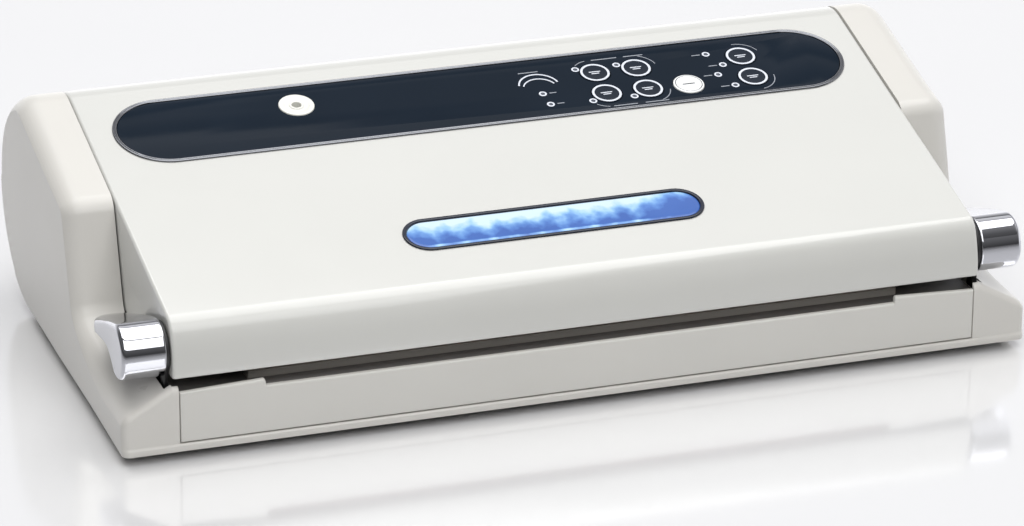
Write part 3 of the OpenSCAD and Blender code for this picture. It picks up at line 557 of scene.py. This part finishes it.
def rear_wall(w):
    """Curved rear wall with the shut line that the lid closes on."""
    def at(centre, r, a):
        t = math.radians(a)
        return centre[0] + r * math.cos(t), centre[1] + r * math.sin(t)

    def sweep(centre, r, a0, a1, n):
        return [at(centre, r, a0 + (a1 - a0) * i / n) for i in range(n + 1)]
    prof = [(168, -1.2)] + sweep(HEEL_ARC, 51, -90, 0, 30) + sweep(REAR_ARC, 55, 2, 29.6, 16)
    prof += [at(REAR_ARC, 54.2, 30.5), at(REAR_ARC, 53.2, 30.5)]
    prof += sweep(REAR_ARC, 52.5, 29.6, 2, 16) + sweep(HEEL_ARC, 48.5, 0, -84, 28) + [(168, 2.7)]
    return prism_x("rear", [(y * KY, z * KZ) for y, z in prof], -w, w, "shell")


def base_housing():
    """Both side housings, front lip, rear wall and knuckles joined into one shell."""
    o = side_housing()
    left = mirrored(o, "left")
    w = IN_HALF + 0.4
    lip = prism_x("lip", LIP + [(3.7, 2.7), (3.7, 22.4), (6, 22.4), (6, -1.2)], -w, w, "shell")
    rear = rear_wall(w)
    ledge = block(-w, w, 156 * KY, 188 * KY, 2.8 * KZ, 2.8 * KZ + 2.6, "shell")
    mains_hole = block(-164, -136, 205 * KY, 240 * KY, 20, 38)
    cut(rear, mains_hole)
    for t in (left, lip, rear, ledge):
        cut(o, t, "UNION")
    plate_room = block(-HALF + 5, HALF - 5, 6, 168 * KY, -4, 2.8)
    cut(o, plate_room)
    o.name = o.data.name = "base_housing_shell"
    for x in KNUCKLES:
        cut(o, knuckle(x), "UNION")
    return stand_for(bake(o, 32), "base", "base_housing")


def knuckle(x):
    """One hinge knuckle: a barrel blending down into the rear wall."""
    r = BARREL_R
    turns = [math.radians(200 - 220 * i / 16) for i in range(17)]
    pts = [(HINGE_Y + r * math.cos(a), HINGE_Z + r * math.sin(a)) for a in turns]
    pts += [(217.6 * KY, 77 * KZ), (220.4 * KY, 71 * KZ), (216 * KY, 64 * KZ), (208.6 * KY, 72 * KZ)]
    return prism_x("knuckle", pts, x - KNUCKLE_HALF, x + KNUCKLE_HALF, "shell")


# ---------------------------------------------------------------- lid
UNDER0 = 54 * KZ                       # underside of the lid's top, where the lining steps down
STEP_Y = 96.0
LID_Z = 33.2 * KZ                      # the lid's lower edge


def lid_outline(inset=0.0):
    """The lid from the rear shut line over the crest and down its rolled front."""
    o = arc(*REAR_ARC, 40, CREST_FROM, 10, 0) + arc(*CREST_ARC, CREST_FROM, CREST_TO, 14, 0, 1, True)
    o += arc(15.2, 50.42, 10, CREST_TO, 155, 14, 0) + arc(46.92, 35.63, 45, 155, 178, 14, 0, 1, True)
    o += [(y, z, -1, 0, 0, 0) for y, z in ((1.95, 34.6), (2.02, 34.0), (2.22, 33.6), (2.6, 33.3),
                                           (3.1, 33.2))]
    return [(y * KY - ny * inset, z * KZ - nz * inset) for y, z, ny, nz, _, _ in o]


def lid_shell():
    """Hollow lid with its hinge barrel and the holes for the panel and the window."""
    tail = [(STEP_Y, LID_Z), (STEP_Y, UNDER0), (205 * KY, UNDER0 + (205 * KY - STEP_Y) * RISE)]
    r = 1.6                            # round-over of the lid's ends
    turns = [math.radians(t) for t in range(0, 91, 15)]
    ends = [(LID_HALF - r + r * math.sin(t), r * (1 - math.cos(t))) for t in turns]
    stations = [(-x, d) for x, d in reversed(ends)] + ends
    loops = [[point(x, y, z) for y, z in lid_outline(d) + tail] for x, d in stations]
    o = rings("lid_shell_visual", loops, "lid")
    wall = 2.5
    cav = lid_outline(wall) + [(5.6, 20), (STEP_Y + 4, 20), (STEP_Y + 4, UNDER0 - 8),
                               (206 * KY, UNDER0 + (198 * KY - STEP_Y) * RISE)]
    cut(o, prism_x("cavity", cav, -LID_HALF + wall, LID_HALF - wall, None))
    edge = BARREL_R - 0.5
    barrel = turned("barrel", [(0, -LID_HALF), (edge, -LID_HALF), (BARREL_R, -LID_HALF + 0.5),
                               (BARREL_R, LID_HALF - 0.5), (edge, LID_HALF), (0, LID_HALF)],
                    across(), "lid", 40)
    cut(o, barrel, "UNION")
    room, reach = 6.8, KNUCKLE_HALF + 0.4
    for x in KNUCKLES:
        cut(o, turned("notch", [(0, -reach), (room, -reach), (room, reach), (0, reach)],
                      across(x), None, 40))
    panel_hole, window_hole = (359.2, 48.2), (143.8, 22.8)
    cut(o, oval_stack("c1", *panel_hole, [(0, -8), (0, 4)], top_matrix(0, PANEL_V), None, 32))
    cut(o, oval_stack("c2", *window_hole, [(0, -8), (0, 4)], top_matrix(0, WINDOW_V), None, 24))
    return stand_for(bake(o, 30), "lid", "lid_shell")


# ---------------------------------------------------------------- front panel
def front_panel():
    """Fascia with the bag notch; its face is rounded over at every edge."""
    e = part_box("front_panel")[1].x / MM
    b = 151.0                          # half the notch
    bot, top, sill = 3.0, 28.5, 25.3
    half = [(e, bot), (e, top - 1.6), (b + 2.0, top - 0.06), (b + 1.1, top), (b + 0.6, top - 0.1),
            (b + 0.2, top - 0.4), (b, top - 0.9), (b, sill + 0.5), (b - 0.15, sill + 0.15), (b - 0.5, sill)]
    outline = half + [(-x, z) for x, z in reversed(half)]
    inset_at = ((0.35, 3.5), (0.0, 3.2), (0.0, 1.9), (0.1, 1.5), (0.3, 1.15), (0.6, 0.92), (1.0, 0.8),
                (1.6, 0.8))
    loops = []
    for d, y in inset_at:
        ring = []
        for x, z in outline:
            side = (1 if x > 0 else -1) if abs(abs(x) - e) < 0.01 else 0
            ring.append(point(x - side * d * 0.5, y, z - (d if z > 20 else -d * 0.4)))
        loops.append(ring)
    ob = rings("front_panel_visual", loops, "fascia", smooth=40)
    return stand_for(ob, "base", "front_panel")


# ---------------------------------------------------------------- levers and hooks
LEVER_Y, LEVER_Z = 16.5, 43.6 * KZ     # the levers' axis
LEVER_R, TAIL = 13.0, 45.0             # barrel radius and reach of the tail
PIN_BORE_R = 3.05


def normals(pts):
    """Outward normals of an anticlockwise outline."""
    n = len(pts)
    out = []
    for i in range(n):
        dy = pts[(i + 1) % n][0] - pts[i - 1][0]
        dz = pts[(i + 1) % n][1] - pts[i - 1][1]
        l = math.hypot(dy, dz) or 1
        out.append((dz / l, -dy / l))
    return out


def smooth_run(pts, n=5):
    """Curve through the points (the first and last only steer it)."""
    out = []
    for i in range(1, len(pts) - 2):
        a, b, c, d = pts[i - 1:i + 3]
        for k in range(n):
            t = k / n
            out.append(tuple(0.5 * (2 * b[j] + (c[j] - a[j]) * t
                             + (2 * a[j] - 5 * b[j] + 4 * c[j] - d[j]) * t * t
                             + (3 * b[j] - a[j] - 3 * c[j] + d[j]) * t ** 3) for j in (0, 1)))
    out.append(pts[-2])
    return out


def side_name(side):
    return "left" if side < 0 else "right"


def pin_bore(side, x0, x1):
    """Cutter for the pin's hole in a lever or hook."""
    outward = Matrix.Rotation(side * math.pi / 2, 4, "Y")
    return turned("bore", [(0, x0), (PIN_BORE_R, x0), (PIN_BORE_R, x1), (0, x1)],
                  Matrix.Translation(point(0, LEVER_Y, LEVER_Z)) @ outward, None, 32)


def lever_outline():
    """A round barrel that runs out into a flat curved tail."""
    turns = [math.radians(a) for a in range(74, 288, 4)]
    ring = [(LEVER_R * math.cos(a), LEVER_R * math.sin(a)) for a in turns]
    low = smooth_run([(2, -13), ring[-1], (7.6, -9.3), (13.3, -5.4), (19.5, -4.0), (28.4, -4.5),
                      (40.5, -5.7), (42.8, -5.9), (44.2, -5.0)], 5)
    tip = smooth_run([(42.8, -5.9), (43.6, -5.3), (44.6, -3.9), (44.85, -2.4), (44.3, -1.0), (43, -0.1),
                      (40, 1.0)], 3)
    up = smooth_run([(43.6, -0.6), (43, -0.1), (31.5, 4.1), (17.5, 8.6), ring[0], (0, 13.2)], 6)
    return ring[:-1] + low[:-1] + tip[:-1] + up[:-1]


def lever(side):
    """Chromed lever: thin at the tail, rounded over at the outer end."""
    o = lever_outline()
    nn = normals(o)
    x0, x1 = LID_HALF + 2.3, HALF - 1.5
    corner, r0, r1 = 8.0, 0.4, 2.4     # rounded tail in plan, inner and outer round-over
    xs = [x0 + v for v in (0.0, 0.12, 0.4, 1.1, 2.2, 3.6, 5.4, 8.0)]
    xs += [x1 - v for v in (8, 6.4, 4.8, 3.5)]
    xs += [x1 - r1 + r1 * math.sin(math.radians(t)) for t in range(0, 91, 10)]
    barrel_y, tail_y, blend = 10, 12, 20
    loops = []
    for x in sorted(set(xs)):
        d = 0.0
        if x - x0 < r0:
            d = r0 - math.sqrt(max(0.0, r0 * r0 - (r0 - (x - x0)) ** 2))
        if x > x1 - r1:
            d = r1 - math.sqrt(max(0.0, r1 * r1 - (x - x1 + r1) ** 2))
        e = min(x - x0, x1 - x)
        lim = TAIL
        if e < corner:
            lim = TAIL - corner + math.sqrt(max(0.0, corner * corner - (corner - e) ** 2))
        ring = []
        for (y, z), (ny, nz) in zip(o, nn):
            thick = 1.0 if y < barrel_y else max(0.62, 1.0 - (y - barrel_y) / blend)
            ys = y if y < tail_y else tail_y + (y - tail_y) * (lim - tail_y) / (TAIL - tail_y)
            ring.append(point(side * x, LEVER_Y + ys - ny * d * thick, LEVER_Z + z - nz * d * thick))
        loops.append(ring)
    name = side_name(side)
    ob = rings("lever_%s_visual" % name, loops, "chrome", smooth=50)
    cut(ob, pin_bore(side, x0 - 1, x1 - 3))
    return stand_for(bake(ob, 50), name + "_lever", "lever_" + name)


def hook(side):
    """Flat hook inside the lever: a disc with a foot that goes down through the slot."""
    x0, x1 = LID_HALF + 0.5, LID_HALF + 2.3
    r = LEVER_R - 1
    turns = [math.radians(a) for a in range(-84, 227, 6)]
    o = [(LEVER_Y + r * math.cos(a), LEVER_Z + r * math.sin(a)) for a in turns]
    o += [(8.9, 29.6), (9.0, 27.2), (9.15, 24.9), (9.7, 23.8), (15.6, 23.75), (16.5, 24.2),
          (16.7, 25.6), (16.5, 26.9), (15.8, 28.6), (15.9, 30.2), (16.6, 31.3)]
    nn = normals(o)
    loops = []
    for x, d in ((x0, 0.3), (x0 + 0.1, 0.1), (x0 + 0.3, 0.0), (x1 - 0.3, 0.0), (x1 - 0.1, 0.1),
                 (x1, 0.3)):
        loops.append([point(side * x, y - ny * d, z - nz * d) for (y, z), (ny, nz) in zip(o, nn)])
    name = side_name(side)
    ob = rings("hook_%s_visual" % name, loops, "black_plastic", smooth=40)
    cut(ob, pin_bore(side, x0 - 1, x1 + 1))
    return stand_for(bake(ob, 40), name + "_lever", "hook_" + name)


# ---------------------------------------------------------------- control panel
KEYS = {n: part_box(n) for n in ("key_upper_left", "key_upper_right", "key_lower_left",
                               "key_lower_right", "key_seal", "key_mode_upper", "key_mode_lower")}
KEY_R = (KEYS["key_seal"][1].x - KEYS["key_seal"][0].x) / 2 / MM
KEY_PITCH = 17.6                       # between the two rows
KEY_ROW = PANEL_V - 2 + KEY_PITCH / 2
LOW_ROW = KEY_ROW - KEY_PITCH
PORT_X, PORT_V, PORT_R = -90.6, PANEL_V + 8, 8.5
PANEL_L, PANEL_H, RIM_W = 361.6, 50.6, 2.2
LAMP_R = 1.1


def key_x(n):
    return (KEYS[n][0].x + KEYS[n][1].x) / 2 / MM


def key_v(n):
    return KEY_ROW if "upper" in n else LOW_ROW


LAMP_DX, LAMP_DV = KEY_R + 0.9, KEY_R * 0.61     # from a key's middle to its lamp
LEFT_X, RIGHT_X = key_x("key_upper_left"), key_x("key_upper_right")
MODE_X = key_x("key_mode_upper")
LAMPS = [(LEFT_X - LAMP_DX, KEY_ROW + LAMP_DV), (RIGHT_X - LAMP_DX, KEY_ROW + LAMP_DV),
         (LEFT_X - LAMP_DX, LOW_ROW - LAMP_DV), (RIGHT_X - LAMP_DX, LOW_ROW - LAMP_DV),
         (115.4, KEY_ROW + 5), (120.6, KEY_ROW - 5), (115.4, KEY_ROW - 12.6), (120.6, KEY_ROW - 22.6),
         (27, KEY_ROW - 12), (28, KEY_ROW - 21)]


def hole(o, x, v, r, n=64):
    """Round hole through the overlay."""
    cut(o, turned("k", [(0, -3), (r, -3), (r, 2), (0, 2)], top_matrix(x, v), None, n))


def panel():
    """Silver rim and the dark glossy overlay inside it."""
    m = top_matrix(0, PANEL_V)
    rim = oval_ring("panel_rim_visual", PANEL_L, PANEL_H,
                    [(1.4, -3.0), (1.4, 0.05), (0, 0.05), (0, 0.42), (0.12, 0.68), (0.4, 0.85),
                     (0.75, 0.80), (0.92, 0.55), (1.08, 0.50), (1.24, 0.55), (1.4, 0.80),
                     (1.7, 0.85), (2.0, 0.72), (2.18, 0.40), (RIM_W, 0.1), (RIM_W, -3.0)],
                    m, "rim", 40, 50)
    stand_for(rim, "lid", "panel_rim")
    rims, slack = 2 * RIM_W, 0.3
    ov = oval_stack("control_overlay_visual", PANEL_L - rims - slack, PANEL_H - rims - slack,
                    [(0, -1.6), (0, 0.22), (0.06, 0.34), (0.2, 0.4)], m, "overlay", 40)
    for n in KEYS:
        hole(ov, key_x(n), key_v(n), KEY_R + 0.3)
    hole(ov, PORT_X, PORT_V, PORT_R + 0.1)
    for x, v in LAMPS:
        hole(ov, x, v, LAMP_R + 0.05, 24)
    stand_for(bake(ov, 40), "lid", "control_overlay")


def key(n):
    """A round key with a raised ring and plain dashes; the sealing key is white."""
    white = n == "key_seal"
    m = top_matrix(key_x(n), key_v(n))
    r = KEY_R
    cap = turned(n + "_visual", [(0, -8.2), (2, -8.2), (2, -1.6), (r, -1.6), (r, 0.45), (r - 0.12, 0.68),
                                 (r - 0.4, 0.80), (r - 1.6, 0.78), (r - 3.5, 0.66), (0, 0.62)],
                 m, "key_white" if white else "key_dark", 96, 40)
    stand_for(cap, n, n)
    if not white:
        ring = turned_ring(n + "_ring", [(r - 1.55, 0.5), (r - 1.55, 0.80), (r - 1.47, 0.85),
                                         (r - 0.52, 0.87), (r - 0.42, 0.80), (r - 0.42, 0.5)],
                           m, "print", 96, 40)
        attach(ring, n)
        for k, (half, v) in enumerate(((2.9, 0.7), (2.0, -0.7))):
            dash = oval_stack(n + "_dash_%d" % k, 2 * half, 0.62, [(0, 0.6), (0, 0.69), (0.08, 0.72)],
                              m @ Matrix.Translation(Vector((0, v, 0)) * MM), "print", 8, 40)
            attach(dash, n)
    else:
        ring = turned_ring(n + "_ring", [(r - 1.3, 0.5), (r - 1.3, 0.80), (r - 1.2, 0.84),
                                         (r - 1.0, 0.84), (r - 0.9, 0.80), (r - 0.9, 0.5)],
                           m, "rim", 96, 40)
        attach(ring, n)
        dash = oval_stack(n + "_dash", 6.4, 0.9, [(0, 0.58), (0, 0.68), (0.1, 0.71)], m, "rim", 8, 40)
        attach(dash, n)


def port():
    """Disc round the accessory port, with a dished middle."""
    m = top_matrix(PORT_X, PORT_V)
    o = turned_ring("port_disc_visual",
                    [(2.3, -12), (3.4, -12), (3.4, -4), (PORT_R, -4), (PORT_R, 0.62), (8.35, 0.86),
                     (8.05, 0.97), (6.6, 0.97), (6.2, 0.85), (5.9, 0.62), (4.3, 0.42), (3.7, 0.45),
                     (3.45, 0.7), (3.3, 0.93), (3.0, 0.99), (2.6, 0.97), (2.35, 0.8), (2.3, 0.5)],
                    m, "port", 72, 40)
    stand_for(o, "lid", "port_disc")


def arc_mark(name, cx, cv, r, a0, a1):
    """A thin raised arc about a key's middle, from a0 to a1 degrees."""
    m = top_matrix(0, PANEL_V)
    n, w, h0, h1 = 24, 0.22, 0.3, 0.46
    section = ((r - w, h0), (r + w, h0), (r + w, h1 - 0.04), (r, h1), (r - w, h1 - 0.04))
    loops = []
    for i in range(n + 1):
        a = math.radians(a0 + (a1 - a0) * i / n)
        c, s = math.cos(a), math.sin(a)
        loops.append([m @ (Vector((cx + rr * c, cv - PANEL_V + rr * s, hh)) * MM) for rr, hh in section])
    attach(rings(name, loops, "print_dim"), "lid")


def prints():
    """Raised arcs by the keys, rings round the lamps and dashes: plain marks with no words."""
    four, mode = KEY_R + 3.2, KEY_R + 3.0
    arcs = [(LEFT_X, KEY_ROW, four, 100, 135), (LEFT_X, LOW_ROW, four, 225, 260),
            (RIGHT_X, KEY_ROW, four, 12, 68), (RIGHT_X, LOW_ROW, four, -68, -12),
            (MODE_X, KEY_ROW, mode, 20, 95), (MODE_X, LOW_ROW, mode, -80, 0)]
    for i, spec in enumerate(arcs):
        arc_mark("panel_mark_%d" % i, *spec)
    for i, (x, v) in enumerate(LAMPS):
        ob = turned_ring("lamp_ring_%d" % i, [(LAMP_R, 0.3), (LAMP_R, 0.46), (1.25, 0.5), (1.75, 0.5),
                                              (1.9, 0.44), (1.9, 0.3)],
                         top_matrix(x, v), "print", 32, 40)
        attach(ob, "lid")
    above, below = KEY_ROW + 10.6, KEY_ROW - 28.2
    long_dashes = [(LEFT_X + 8, above, 13), (RIGHT_X + 2, above, 10), (LEFT_X + 6, below, 12),
                   (RIGHT_X + 1, below, 12)]
    short_dashes = [(25.5, KEY_ROW + 6.4, 10)] + [(x - 5.2, v, 4.4) for x, v in LAMPS[4:8]]
    short_dashes += [(x + 5.0, v, 3.6) for x, v in LAMPS[8:]]
    for i, (x, v, w) in [*enumerate(long_dashes), *enumerate(short_dashes, 5)]:
        ob = oval_stack("panel_dash_%d" % i, w, 0.6, [(0, 0.3), (0, 0.44), (0.08, 0.47)],
                        top_matrix(x, v), "print_dim", 8, 40)
        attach(ob, "lid")


# ---------------------------------------------------------------- window
def window():
    """The lit window: a dark frame and a slightly domed lens."""
    def length(n):
        a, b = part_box(n)
        return (b.x - a.x) / MM
    rim_l, lens_l, rim_h = length("window_rim"), length("window_lens"), 24.0
    d = (rim_l - lens_l) / 2
    m = top_matrix(0, WINDOW_V)
    rim = oval_ring("window_rim_visual", rim_l, rim_h,
                    [(0.8, -3.0), (0.8, 0.05), (0, 0.05), (0, 0.35), (0.12, 0.58), (0.45, 0.74),
                     (d - 0.85, 0.74), (d - 0.5, 0.62), (d - 0.25, 0.3), (d - 0.2, -3.0)],
                    m, "window_frame", 32, 50)
    stand_for(rim, "lid", "window_rim")
    lens = oval_stack("window_lens_visual", lens_l, rim_h - 2 * d,
                      [(0.0, -2.6), (0, -0.15), (0.1, 0.02), (0.35, 0.14), (1.2, 0.22), (3.0, 0.28),
                       (6.0, 0.3)], m, "window", 32, 60)
    stand_for(lens, "lid", "window_lens")


# ---------------------------------------------------------------- CAD pieces kept as they are
KEEP = {
    "bottom_plate": ("pan", 0.4), "rubber_feet": ("rubber", 0.5), "bottom_screws": ("steel", 0.1),
    "inner_deck": ("deck", 0.4), "seal_bar": ("bar", 0.4), "heating_wire": ("nickel", 0.05),
    "release_tape": ("tape", 0.04), "lower_gasket": ("rubber", 0.9), "drip_tray": ("tray", 0.35),
    "pump_motor": ("steel", 0.8), "pump_head": ("pump", 0.7), "pump_mounts": ("rubber", 0.6),
    "chamber_hose": ("hose", 0.2), "release_valve": ("brass", 0.5), "valve_hose": ("hose", 0.2),
    "transformer_core": ("core", 0.4), "transformer_coil": ("winding", 0.9),
    "power_board": ("board", 0.1), "power_relay": ("relay", 0.4), "power_capacitor": ("cap", 0.7),
    "heat_sink": ("alu", 0.2), "mains_inlet": ("black_plastic", 0.3), "inlet_pins": ("brass", 0.3),
    "mains_wires": ("wire", 0.1), "latch_switches": ("black_plastic", 0.3),
    "latch_catches": ("steel", 0.2), "hinge_pins": ("steel", 0.4), "lid_liner": ("liner", 0.35),
    "lid_screws": ("steel", 0.15), "port_hose": ("hose", 0.2), "control_board": ("board", 0.15),
    "key_switches": ("black_plastic", 0.2), "indicator_lamps": ("lamp", 0.3),
    "gauge_lamps": ("print", 0.05), "window_light": ("glow", 0.2), "upper_gasket": ("rubber", 0.7),
    "pressure_strip": ("silicone", 0.6), "lever_pins": ("steel", 0.4),
}


def keep(name, mat, width):
    """Give a CAD piece its material and a fine bevel of this width on its edges."""
    o = nodes[name]
    o.data.materials.clear()
    o.data.materials.append(MATERIALS[mat])
    w = o.modifiers.new("weld", "WELD")
    w.merge_threshold = 0.02 * MM
    d = o.modifiers.new("flat", "DECIMATE")
    d.decimate_type = "DISSOLVE"
    d.angle_limit = math.radians(1.5)
    b = o.modifiers.new("edge", "BEVEL")
    b.width = width * MM
    b.segments = 2
    b.limit_method = "ANGLE"
    b.angle_limit = math.radians(35)
    b.harden_normals = True
    soften(o.data, 40)


for node_name, (mat_name, bev) in KEEP.items():
    keep(node_name, mat_name, bev)

base_housing()
front_panel()
lid_shell()
for s in (-1, 1):
    lever(s)
    hook(s)
panel()
for k in KEYS:
    key(k)
port()
prints()
window()


# ---------------------------------------------------------------- stage, light and camera
def floor():
    """Pale glossy floor."""
    me = bpy.data.meshes.new("floor")
    bm = bmesh.new()
    bmesh.ops.create_grid(bm, x_segments=8, y_segments=8, size=12.0)
    bm.to_mesh(me)
    bm.free()
    o = bpy.data.objects.new("floor", me)
    bpy.context.scene.collection.objects.link(o)
    m, nt, b = new_mat("floor_gloss")
    nt.links.new(ramp(nt, noise(nt, 2), (0.86, 0.86, 0.87), (0.88, 0.88, 0.89)), b.inputs["Base Color"])
    nt.links.new(spread(nt, noise(nt, 30), 0.11, 0.15), b.inputs["Roughness"])
    b.inputs["IOR"].default_value = 2.0
    b.inputs["Metallic"].default_value = 0.2
    b.inputs["Coat Weight"].default_value = 1.0
    b.inputs["Coat IOR"].default_value = 2.2
    b.inputs["Coat Roughness"].default_value = 0.09
    me.materials.append(m)


def world():
    """Dark room in front and to the left, bright wall behind, soft grey above."""
    w = bpy.data.worlds.new("studio")
    bpy.context.scene.world = w
    w.use_nodes = True
    nt = w.node_tree
    bg = nt.nodes["Background"]
    tc = nt.nodes.new("ShaderNodeTexCoord")
    sep = nt.nodes.new("ShaderNodeSeparateXYZ")
    nt.links.new(tc.outputs["Generated"], sep.inputs["Vector"])

    def levels(stops):
        """Grey by height: each stop is a direction's z and its brightness."""
        r = nt.nodes.new("ShaderNodeValToRGB")
        mr = nt.nodes.new("ShaderNodeMapRange")
        mr.inputs["From Min"].default_value = -1
        nt.links.new(sep.outputs["Z"], mr.inputs["Value"])
        nt.links.new(mr.outputs["Result"], r.inputs["Fac"])
        e = r.color_ramp.elements
        for k, (z, v) in enumerate(stops):
            q = e[k] if k < 2 else e.new(0.5)
            q.position = (z + 1) / 2
            q.color = (v, v, v * 1.02, 1)
        return r.outputs["Color"]
    front = levels([(-1, 0.3), (1, 0.20), (-0.05, 0.05), (0.38, 0.05), (0.55, 0.20)])
    back = levels([(-1, 0.8), (1, 0.20), (-0.05, 1.6), (0.46, 1.6), (0.62, 0.14)])
    ma = nt.nodes.new("ShaderNodeMath")
    ma.operation = "MULTIPLY_ADD"
    ma.inputs[1].default_value = 0.9   # the dark side of the room is turned to the left
    nt.links.new(sep.outputs["X"], ma.inputs[0])
    nt.links.new(sep.outputs["Y"], ma.inputs[2])
    f = nt.nodes.new("ShaderNodeMapRange")
    f.interpolation_type = "SMOOTHSTEP"
    f.inputs["From Min"].default_value = -0.25
    f.inputs["From Max"].default_value = 0.65
    nt.links.new(ma.outputs["Value"], f.inputs["Value"])
    mix = nt.nodes.new("ShaderNodeMix")
    mix.data_type = "RGBA"
    nt.links.new(f.outputs["Result"], mix.inputs[0])
    nt.links.new(front, mix.inputs[6])
    nt.links.new(back, mix.inputs[7])
    nt.links.new(mix.outputs[2], bg.inputs["Color"])
    bg.inputs["Strength"].default_value = 1.0


def light(name, loc, target, size_x, size_y, power):
    d = bpy.data.lights.new(name, "AREA")
    d.shape = "RECTANGLE"
    d.size = size_x
    d.size_y = size_y
    d.energy = power
    o = bpy.data.objects.new(name, d)
    bpy.context.scene.collection.objects.link(o)
    o.location = loc
    o.rotation_euler = (Vector(target) - Vector(loc)).to_track_quat("-Z", "Y").to_euler()


def camera():
    """Long lens from the front left, turned so that the body's front edge rises to the right."""
    c = bpy.data.cameras.new("camera")
    c.lens = 182.46
    c.sensor_width = 36
    c.clip_end = 60
    o = bpy.data.objects.new("camera", c)
    bpy.context.scene.collection.objects.link(o)
    look = Vector((0.2998, 0.8732, -0.3843)).normalized()
    right = Vector((0.9467, -0.3222, 0.0064))
    right = (right - look * right.dot(look)).normalized()
    up = right.cross(look)
    turn = Matrix((right, up, -look)).transposed().to_4x4()
    o.matrix_world = Matrix.Translation((-0.7316, -2.1388, 0.9665)) @ turn
    bpy.context.scene.camera = o


floor()
world()
light("softbox", (0.05, 0.10, 1.7), (0, -0.02, 0), 2.0, 1.7, 33)
light("front_panel_light", (-0.35, -1.45, 1.45), (0, -0.1, 0.05), 2.0, 1.35, 20)
bpy.context.scene.view_settings.view_transform = "Standard"
camera()
